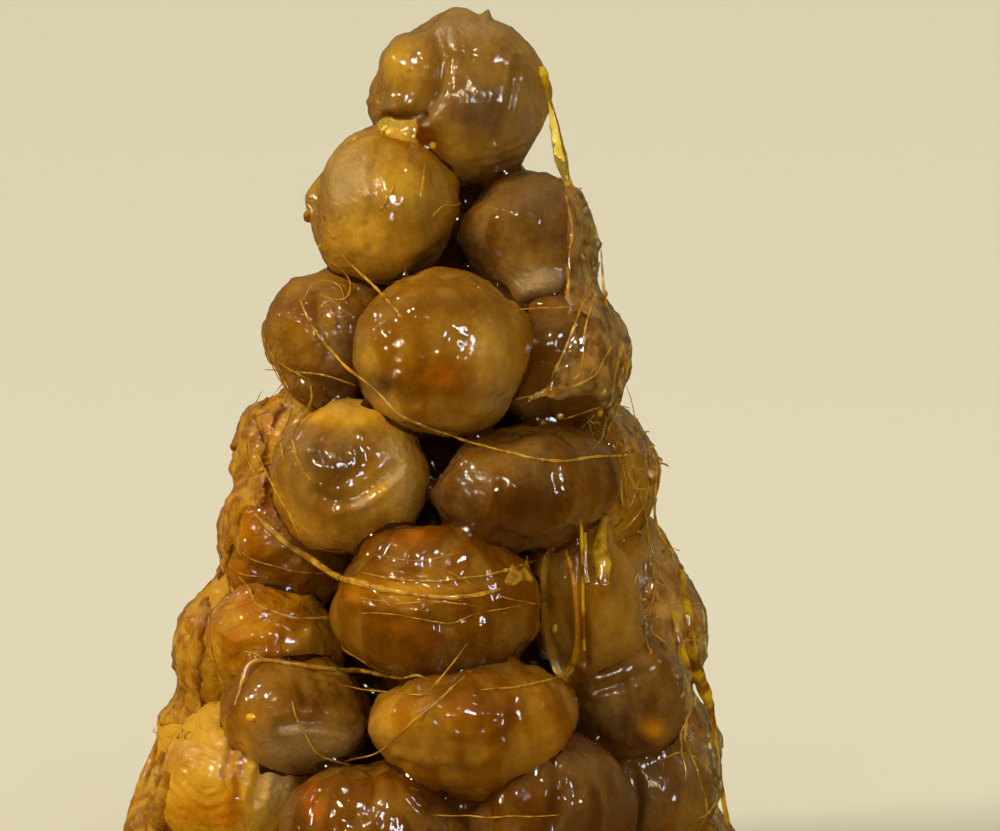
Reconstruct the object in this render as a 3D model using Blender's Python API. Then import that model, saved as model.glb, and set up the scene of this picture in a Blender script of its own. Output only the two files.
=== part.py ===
"""Croquembouche: a leaning cone of choux puffs, pressed round a solid inside and stuck with poured caramel.

Metres, +Z up. The origin is at the middle of the foot. The front is -Y, and a bearing is the angle round the
cone from the front, in degrees, positive towards +X. Sizes named below are in millimetres.
"""

import math
import random
from collections import namedtuple

import bmesh
import bpy
from mathutils import Matrix, Vector, noise

MM = 0.001

# The cone that the puffs are pressed against. Its axis leans a little towards +X.
CORE_FOOT_RADIUS = 60.0
CORE_HEIGHT = 232.0
CORE_TOP_RADIUS = 3.0
CORE_SEGMENTS = 32
LEAN = 0.0315
FOOT_OFFSET = -4.3

# One choux puff: how far it swells from the cone, how lumpy it is, and how finely its skin is divided.
PUFF_DEPTH = 43.0
PUFF_LUMP = 0.075
LUMP_SCALE = 1.5
FACES_ACROSS = 4

# Plain puffs are all a little different. Shown puffs have sizes of their own.
PLAIN_WIDTH = (43.0, 49.0)
PLAIN_HEIGHT = (42.0, 48.0)
PLAIN_LIFT = 2.5
PLAIN_SWING = 3.0
PLAIN_TURN = 12.0

# Puffs that touch are flattened against each other, with this gap between the solids.
GAP = 0.3
PRESSING_ROUNDS = 12
FARTHEST_NEIGHBOUR = 75.0

Choux = namedtuple("Choux", "bearing width height lift turn inset depth")
Tier = namedtuple("Tier", "height ring shown plain first")


def choux(bearing, width, height, lift=0.0, turn=0.0, inset=0.0, depth=PUFF_DEPTH):
    return Choux(bearing, width, height, lift, turn, inset, depth)


# From the crown down: the height of a tier's puffs above the foot, the radius of the ring that their centres stand
# on, the puffs with a size of their own, and how many plain puffs close the ring after them.
TIERS = (
    Tier(257.5, 0.0, (choux(0, 51, 50),), 0, 0),
    Tier(222.0, 24.0, (choux(-62, 43.5, 43.5, lift=4.5), choux(62, 36, 40, lift=-5.5, depth=40)), 1, 0),
    Tier(
        187.0,
        35.0,
        (
            choux(-77, 39, 40, lift=1, inset=1),
            choux(-4.5, 49, 46, lift=0.5),
            choux(61, 40, 42, lift=-3),
        ),
        2,
        0,
    ),
    Tier(
        148.0,
        42.0,
        (
            choux(-100, 42, 44, lift=1),
            choux(-41, 45, 43, lift=3.2),
            choux(34, 58, 36, turn=-3),
            choux(95, 42, 42, lift=-3),
        ),
        2,
        0,
    ),
    Tier(
        115.0,
        50.0,
        (
            choux(-71, 37, 36, lift=13, inset=1),
            choux(-1.5, 58, 43, lift=2.3),
            choux(53, 32, 56, lift=-1, turn=-6, depth=36),
            choux(104, 40, 42, lift=-2),
        ),
        3,
        0,
    ),
    Tier(
        84.0,
        60.0,
        (
            choux(-101, 42, 46, lift=8),
            choux(-58, 38, 29, lift=18, inset=3, depth=40),
            choux(-42, 42, 32, lift=0.5),
            choux(10, 60, 38, lift=0.5, turn=3),
            choux(61, 36, 37, lift=3, depth=39),
            choux(95, 38, 42, lift=10, inset=2),
        ),
        3,
        0,
    ),
    Tier(
        56.0,
        67.0,
        (
            choux(-101, 44, 42, lift=2),
            choux(-60, 46, 45, lift=6),
            choux(-14, 53, 41, lift=-2.5),
            choux(29, 49, 43, lift=4.5),
            choux(69, 36, 40, depth=40),
            choux(103, 42, 42),
        ),
        4,
        0,
    ),
    Tier(21.0, 74.0, (), 10, -80),
)


def outward(bearing):
    """The level direction away from the axis at this bearing."""
    angle = math.radians(bearing)
    return Vector((math.sin(angle), -math.cos(angle), 0))


def across(bearing):
    """The level direction round the cone, from left to right for someone who faces it."""
    angle = math.radians(bearing)
    return Vector((math.cos(angle), math.sin(angle), 0))


def axis_point(height):
    """The middle of the leaning cone at this height."""
    return Vector((FOOT_OFFSET + LEAN * height, 0, height))


def core_apex():
    """Where the sides of the core would meet above its blunt top."""
    return axis_point(CORE_HEIGHT * CORE_FOOT_RADIUS / (CORE_FOOT_RADIUS - CORE_TOP_RADIUS))


def core_plane(bearing):
    """(point, normal) of the plane that touches the core along its side at this bearing, facing out."""
    foot = axis_point(0) + CORE_FOOT_RADIUS * outward(bearing)
    normal = across(bearing).cross(core_apex() - foot).normalized()
    return foot, normal if normal.dot(outward(bearing)) > 0 else -normal


def ring_of(tier, draw):
    """Every puff of a tier: those with a size of their own, then plain ones spread over the rest of the ring."""
    shown = list(tier.shown)
    start = shown[-1].bearing if shown else tier.first
    sweep = 360 - (shown[-1].bearing - shown[0].bearing) if shown else 360
    steps = tier.plain + 1 if shown else tier.plain
    for step in range(1, tier.plain + 1):
        shown.append(
            choux(
                start + sweep * step / steps + draw.uniform(-PLAIN_SWING, PLAIN_SWING),
                draw.uniform(*PLAIN_WIDTH),
                draw.uniform(*PLAIN_HEIGHT),
                lift=draw.uniform(-PLAIN_LIFT, PLAIN_LIFT),
                turn=draw.uniform(-PLAIN_TURN, PLAIN_TURN),
            )
        )
    return shown


def quad_ball():
    """A ball of evenly sized four-sided faces: a divided cube blown up to radius 1."""
    ball = bmesh.new()
    bmesh.ops.create_cube(ball, size=2)
    bmesh.ops.subdivide_edges(ball, edges=ball.edges[:], cuts=FACES_ACROSS - 1, use_grid_fill=True)
    for vert in ball.verts:
        # The tangent evens out the faces, which would crowd together at the cube's corners.
        vert.co = Vector([math.tan(c * math.pi / 4) for c in vert.co]).normalized()
    return ball


def puff_axes(bearing, turn):
    """The puff's own axes as columns: across, inward through the cone's slope, and up its face."""
    inward = -core_plane(bearing)[1]
    frame = Matrix((across(bearing), inward, across(bearing).cross(inward))).transposed()
    return frame @ Matrix.Rotation(math.radians(turn), 3, "Y")


def swollen_puff(tier, piece, seed):
    """(centre, mesh) of one puff before it meets its neighbours, lumpy as baked choux is."""
    centre = axis_point(tier.height + piece.lift) + (tier.ring - piece.inset) * outward(piece.bearing)
    half = Vector((piece.width, piece.depth, piece.height)) / 2
    frame = puff_axes(piece.bearing, piece.turn)
    puff = quad_ball()
    for vert in puff.verts:
        swell = 1 + PUFF_LUMP * noise.noise(vert.co * LUMP_SCALE + Vector((7.3 * seed, 0, 0)))
        vert.co = centre + frame @ (Vector(map(math.prod, zip(vert.co, half))) * swell)
    return centre, puff


def contact_planes(puffs):
    """For each puff, the (point, normal) planes that its neighbours keep it behind, normals facing away from it."""
    planes = [[] for _ in puffs]
    for one, (centre, puff) in enumerate(puffs):
        for other in range(one + 1, len(puffs)):
            far_centre, far_puff = puffs[other]
            apart = (far_centre - centre).length
            if apart > FARTHEST_NEIGHBOUR:
                continue
            line = (far_centre - centre) / apart
            reach = max((v.co - centre).dot(line) for v in puff.verts)
            far_reach = max((far_centre - v.co).dot(line) for v in far_puff.verts)
            if reach + far_reach + GAP <= apart:
                continue
            middle = centre + line * (apart + reach - far_reach) / 2
            planes[one].append((middle - line * GAP / 2, line))
            planes[other].append((middle + line * GAP / 2, -line))
    return planes


def press(puff, planes):
    """Flattens a puff against planes. A point that is over several of them settles after a few rounds."""
    for _ in range(PRESSING_ROUNDS):
        for vert in puff.verts:
            for point, normal in planes:
                over = (vert.co - point).dot(normal)
                if over > 0:
                    vert.co -= over * normal


def material(name, colour, roughness, coat):
    finish = bpy.data.materials.new(name)
    finish.use_nodes = True
    shader = finish.node_tree.nodes["Principled BSDF"]
    shader.inputs["Base Color"].default_value = (*colour, 1)
    shader.inputs["Roughness"].default_value = roughness
    shader.inputs["Metallic"].default_value = 0
    shader.inputs["Coat Weight"].default_value = coat
    finish.diffuse_color = (*colour, 1)
    return finish


def add_object(name, solid, finish):
    """Turns a bmesh in millimetres into a smooth-shaded object in metres."""
    bmesh.ops.scale(solid, vec=(MM, MM, MM), verts=solid.verts[:])
    mesh = bpy.data.meshes.new(name)
    solid.normal_update()
    solid.to_mesh(mesh)
    solid.free()
    mesh.shade_smooth()
    mesh.materials.append(finish)
    obj = bpy.data.objects.new(name, mesh)
    bpy.context.scene.collection.objects.link(obj)
    return obj


def make_core(finish):
    """The solid inside of the tower, a blunt cone that leans with it."""
    core = bmesh.new()
    bmesh.ops.create_cone(
        core,
        cap_ends=True,
        segments=CORE_SEGMENTS,
        radius1=CORE_FOOT_RADIUS,
        radius2=CORE_TOP_RADIUS,
        depth=CORE_HEIGHT,
    )
    for vert in core.verts:
        height = vert.co.z + CORE_HEIGHT / 2
        vert.co = axis_point(height) + Vector((vert.co.x, vert.co.y, 0))
    return add_object("inside", core, finish)


def make_puffs(finish):
    """All the puffs, pressed against the core, the table and each other."""
    draw = random.Random(11)
    names, bearings, puffs = [], [], []
    for level, tier in enumerate(TIERS, start=1):
        for place, piece in enumerate(ring_of(tier, draw), start=1):
            names.append(f"puff_{level}_{place}")
            bearings.append(piece.bearing)
            puffs.append(swollen_puff(tier, piece, seed=len(names)))
    planes = contact_planes(puffs)
    objects = []
    for name, bearing, (centre, puff), contacts in zip(names, bearings, puffs, planes):
        walls = contacts + [(Vector((0, 0, 0)), Vector((0, 0, -1)))]
        if (centre - axis_point(centre.z)).length > 1:
            point, normal = core_plane(bearing)
            walls.append((point + normal * GAP, -normal))
        else:
            walls.append((axis_point(CORE_HEIGHT + GAP), Vector((0, 0, -1))))
        press(puff, walls)
        objects.append(add_object(name, puff, finish))
    return objects


def stand_on_origin(objects):
    """Moves the whole object so that the middle of its bounding box stands over the origin."""
    corners = [v.co for o in objects for v in o.data.vertices]
    middle = [(min(c[i] for c in corners) + max(c[i] for c in corners)) / 2 for i in (0, 1)]
    for obj in objects:
        obj.data.transform(Matrix.Translation((-middle[0], -middle[1], 0)))


def main():
    for obj in list(bpy.data.objects):
        bpy.data.objects.remove(obj, do_unlink=True)
    crust = material("choux_crust", (0.42, 0.22, 0.06), roughness=0.35, coat=0.8)
    caramel = material("caramel", (0.48, 0.17, 0.02), roughness=0.12, coat=1.0)
    objects = [make_core(caramel)] + make_puffs(crust)
    stand_on_origin(objects)


main()
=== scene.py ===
"""Looks of the croquembouche: glazed choux, and the caramel that is poured over them and spun round them.

Metres, in the CAD frame. Sizes named below are in millimetres. A place on the front is given as the camera
sees it: millimetres to the right of and above the point that the camera looks at, on the upright plane
through that point.
"""

import itertools
import math
import random
from collections import namedtuple

import bmesh
import bpy
import numpy as np
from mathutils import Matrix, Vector, noise
from mathutils.bvhtree import BVHTree
from mathutils.kdtree import KDTree


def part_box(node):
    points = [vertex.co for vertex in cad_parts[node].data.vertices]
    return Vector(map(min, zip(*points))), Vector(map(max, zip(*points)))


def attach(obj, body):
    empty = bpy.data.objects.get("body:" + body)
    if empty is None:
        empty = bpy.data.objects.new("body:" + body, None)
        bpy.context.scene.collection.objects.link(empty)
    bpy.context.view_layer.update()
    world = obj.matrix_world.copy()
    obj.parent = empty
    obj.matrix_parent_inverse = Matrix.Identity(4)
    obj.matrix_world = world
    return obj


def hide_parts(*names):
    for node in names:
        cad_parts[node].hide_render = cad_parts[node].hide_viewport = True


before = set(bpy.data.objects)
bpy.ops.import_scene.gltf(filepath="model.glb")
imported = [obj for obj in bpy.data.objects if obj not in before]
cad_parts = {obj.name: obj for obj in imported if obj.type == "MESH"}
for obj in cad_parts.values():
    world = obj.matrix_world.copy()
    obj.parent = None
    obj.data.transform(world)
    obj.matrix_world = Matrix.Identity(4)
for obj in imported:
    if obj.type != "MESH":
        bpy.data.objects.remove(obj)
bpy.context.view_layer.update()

MM = 0.001
BODY = "root"
CORE = "inside"
PUFFS = sorted(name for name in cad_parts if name.startswith("puff_"))

# The camera looks up the front of the tower from a little above the level of its middle.
VIEW_ELEVATION = math.radians(9)
VIEW_DISTANCE = 900.0
VIEW_WIDTH = 296.0
SENSOR_WIDTH = 36.0
LOOK_ASIDE = 20.0
LOOK_HEIGHT = 163.7

foot_low, foot_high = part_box(CORE)
axis_foot = Vector(((foot_low.x + foot_high.x) / 2, (foot_low.y + foot_high.y) / 2, 0))
crown_low, crown_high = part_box("puff_1_1")
axis_top = Vector(((crown_low.x + crown_high.x) / 2, (crown_low.y + crown_high.y) / 2, crown_low.z))
look_at = Vector((axis_foot.x + LOOK_ASIDE * MM, axis_foot.y, LOOK_HEIGHT * MM))
toward = Vector((0, math.cos(VIEW_ELEVATION), -math.sin(VIEW_ELEVATION)))
view_up = Vector((0, math.sin(VIEW_ELEVATION), math.cos(VIEW_ELEVATION)))
eye = look_at - toward * VIEW_DISTANCE * MM


# ---------------------------------------------------------------- meshes and fields

def coords(mesh, value="co"):
    """The place of each vertex, or its normal."""
    flat = np.empty(len(mesh.vertices) * 3, np.float32)
    mesh.vertices.foreach_get(value, flat)
    return flat.reshape(-1, 3).astype(float)


def set_coords(mesh, co):
    mesh.vertices.foreach_set("co", co.astype(np.float32).ravel())
    mesh.update()


def above_table(co):
    """The same places, with any that are under the table lifted onto it."""
    co[:, 2] = np.maximum(co[:, 2], 0)
    return co


def field(mesh, name):
    values = np.empty(len(mesh.vertices), np.float32)
    mesh.attributes[name].data.foreach_get("value", values)
    return values.astype(float)


def set_field(mesh, name, values):
    """Stores one number for each vertex, or the same for all, for the materials to read."""
    layer = mesh.attributes.get(name) or mesh.attributes.new(name, "FLOAT", "POINT")
    layer.data.foreach_set("value", np.full(len(mesh.vertices), values, np.float32))


def mesh_of(name, shape):
    """Turns a bmesh into a mesh."""
    mesh = bpy.data.meshes.new(name)
    shape.to_mesh(mesh)
    shape.free()
    return mesh


def merged(node):
    """A solid's mesh, its loose triangles joined at their corners."""
    solid = bmesh.new()
    solid.from_mesh(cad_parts[node].data)
    bmesh.ops.remove_doubles(solid, verts=solid.verts[:], dist=MM * MM)
    return solid


def add_object(name, mesh):
    obj = bpy.data.objects.new(name, mesh)
    bpy.context.scene.collection.objects.link(obj)
    return obj


def evaluated(obj):
    """The object's mesh as its modifiers leave it."""
    graph = bpy.context.evaluated_depsgraph_get()
    return bpy.data.meshes.new_from_object(obj.evaluated_get(graph), depsgraph=graph)


def settle(obj):
    """Applies the object's modifiers."""
    mesh = evaluated(obj)
    obj.modifiers.clear()
    obj.data = mesh
    return obj


def finish_piece(obj, material, node=None):
    """Gives a piece its material, body and slot, and hides the solid that it stands for, if there is one."""
    obj.data.materials.clear()
    obj.data.materials.append(material)
    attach(obj, BODY)
    if node:
        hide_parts(node)
    return obj


def smoothstep(low, high, values):
    share = np.clip((values - low) / (high - low), 0, 1)
    return share * share * (3 - 2 * share)


def bell(away):
    """1 where this is 0, falling to nothing by 2 or so."""
    return np.exp(-(away ** 2))


# Large odd numbers that turn the place of a cell into a random number.
CELL_STIR = (73856093, 19349663, 83492791)
SALT_STIR = 6542989
LAST_STIR = 1274126177
HALF_RANGE = 32767.5
NOISE_LEVEL = 1.5


def scatter(cells, salt):
    """A random number from -1 to 1 for each cell of a grid."""
    mixed = (cells * CELL_STIR).sum(-1) + salt * SALT_STIR
    mixed ^= mixed >> 13
    mixed *= LAST_STIR
    mixed ^= mixed >> 16
    return (mixed & 0xFFFF) / HALF_RANGE - 1


def soft_noise(places, salt):
    """Smooth noise from about -1 to 1 that swings once or so over each unit."""
    base = np.floor(places).astype(np.int64)
    part = places - base
    ease = part ** 3 * (part * (part * 6 - 15) + 10)
    total = np.zeros(len(places))
    for corner in itertools.product((0, 1), repeat=3):
        weight = np.where(corner, ease, 1 - ease).prod(axis=1)
        slope = sum(scatter(base + corner, salt + axis) * (part[:, axis] - corner[axis]) for axis in range(3))
        total += weight * slope
    return total * NOISE_LEVEL


def lumps(co, size, seed, octaves=1, stretch=1.0):
    """Noise from about -1 to 1 with lumps of this size, longer in height where stretch is over 1."""
    places = co / (size * MM) / (1, 1, stretch)
    return sum(soft_noise(places * 2 ** octave, 100 * seed + 10 * octave) / 2 ** octave
               for octave in range(octaves))


def droplets(co, cell, seed, share, width=0.42):
    """Round domes from 0 to 1 high, one in some of the cells of this size."""
    places = co / (cell * MM)
    base = np.floor(places).astype(np.int64)
    heights = np.zeros(len(co))
    for step in itertools.product((-1, 0, 1), repeat=3):
        spot = base + step
        chance = scatter(spot, seed) / 2 + 0.5
        middle = spot + 0.5 + 0.4 * np.stack([scatter(spot, seed + axis) for axis in (1, 2, 3)], axis=1)
        away = np.linalg.norm(places - middle, axis=1) / (width * (0.5 + chance))
        dome = np.clip(1 - away ** 2, 0, 1) ** 1.5 * (chance > 1 - share)
        heights = np.maximum(heights, dome)
    return heights


def as_seen(co):
    """(right, up) of each point as the camera sees it."""
    offset = co - np.array(eye)
    scale = VIEW_DISTANCE / (offset @ np.array(toward))
    return offset[:, 0] * scale, (offset @ np.array(view_up)) * scale


def from_front(right, up):
    """(start, direction) of the camera's line of sight to a place."""
    return eye, (toward * VIEW_DISTANCE + Vector((right, 0, 0)) + view_up * up).normalized()


# ---------------------------------------------------------------- the choux

# Rounds of subdivision of shown and plain puffs, and rounds of fitting them to their solids.
SHOWN_LEVELS = 4
PLAIN_LEVELS = 3
FITTING_ROUNDS = 4


def oval(seen, right, up, wide, high):
    """1 at a place on the front, fading to 0 round it."""
    return np.exp(-(((seen[0] - right) / wide) ** 2) - ((seen[1] - up) / high) ** 2)


def to_path(seen, path):
    """Distance of each seen point from a path of straight runs."""
    best = np.full(len(seen[0]), 1e9)
    for (x0, y0), (x1, y1) in zip(path, path[1:]):
        run, rise = x1 - x0, y1 - y0
        along = np.clip(((seen[0] - x0) * run + (seen[1] - y0) * rise) / (run * run + rise * rise), 0, 1)
        best = np.minimum(best, np.hypot(seen[0] - x0 - along * run, seen[1] - y0 - along * rise))
    return best


def swell(right, up, wide, high, rise):
    """A soft bulge, or a hollow where rise is under 0."""
    return lambda seen: rise * oval(seen, right, up, wide, high)


def ridge(path, wide, rise):
    """A soft ridge along a path."""
    return lambda seen: rise * bell(to_path(seen, path) / wide)


def crease(path, wide, deep, lip=0.5):
    """A fold along a path, with raised lips."""
    def shape(seen):
        away = to_path(seen, path)
        return deep * (lip * bell((away - 1.9 * wide) / wide) - bell(away / wide))
    return shape


def rings(right, up, inner, outer, pitch, rise, side=None):
    """Ripples round a centre, as a caramel skin sets in, over all of it or towards one side only."""
    def shape(seen):
        turn = np.arctan2(seen[1] - up, seen[0] - right)
        away = np.hypot(seen[0] - right, seen[1] - up)
        away = away * (1 + 0.12 * np.sin(2 * turn) + 0.06 * np.sin(5 * turn + 1))
        shown = smoothstep(inner, inner + pitch, away) * (1 - smoothstep(outer - pitch, outer, away))
        if side:
            turned = (seen[0] - right) * side[0] + (seen[1] - up) * side[1]
            shown = shown * smoothstep(0.2, 0.6, turned / np.maximum(away, 1) / math.hypot(*side))
        return rise * np.sin(away * 2 * math.pi / pitch) * shown
    return shape


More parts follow.
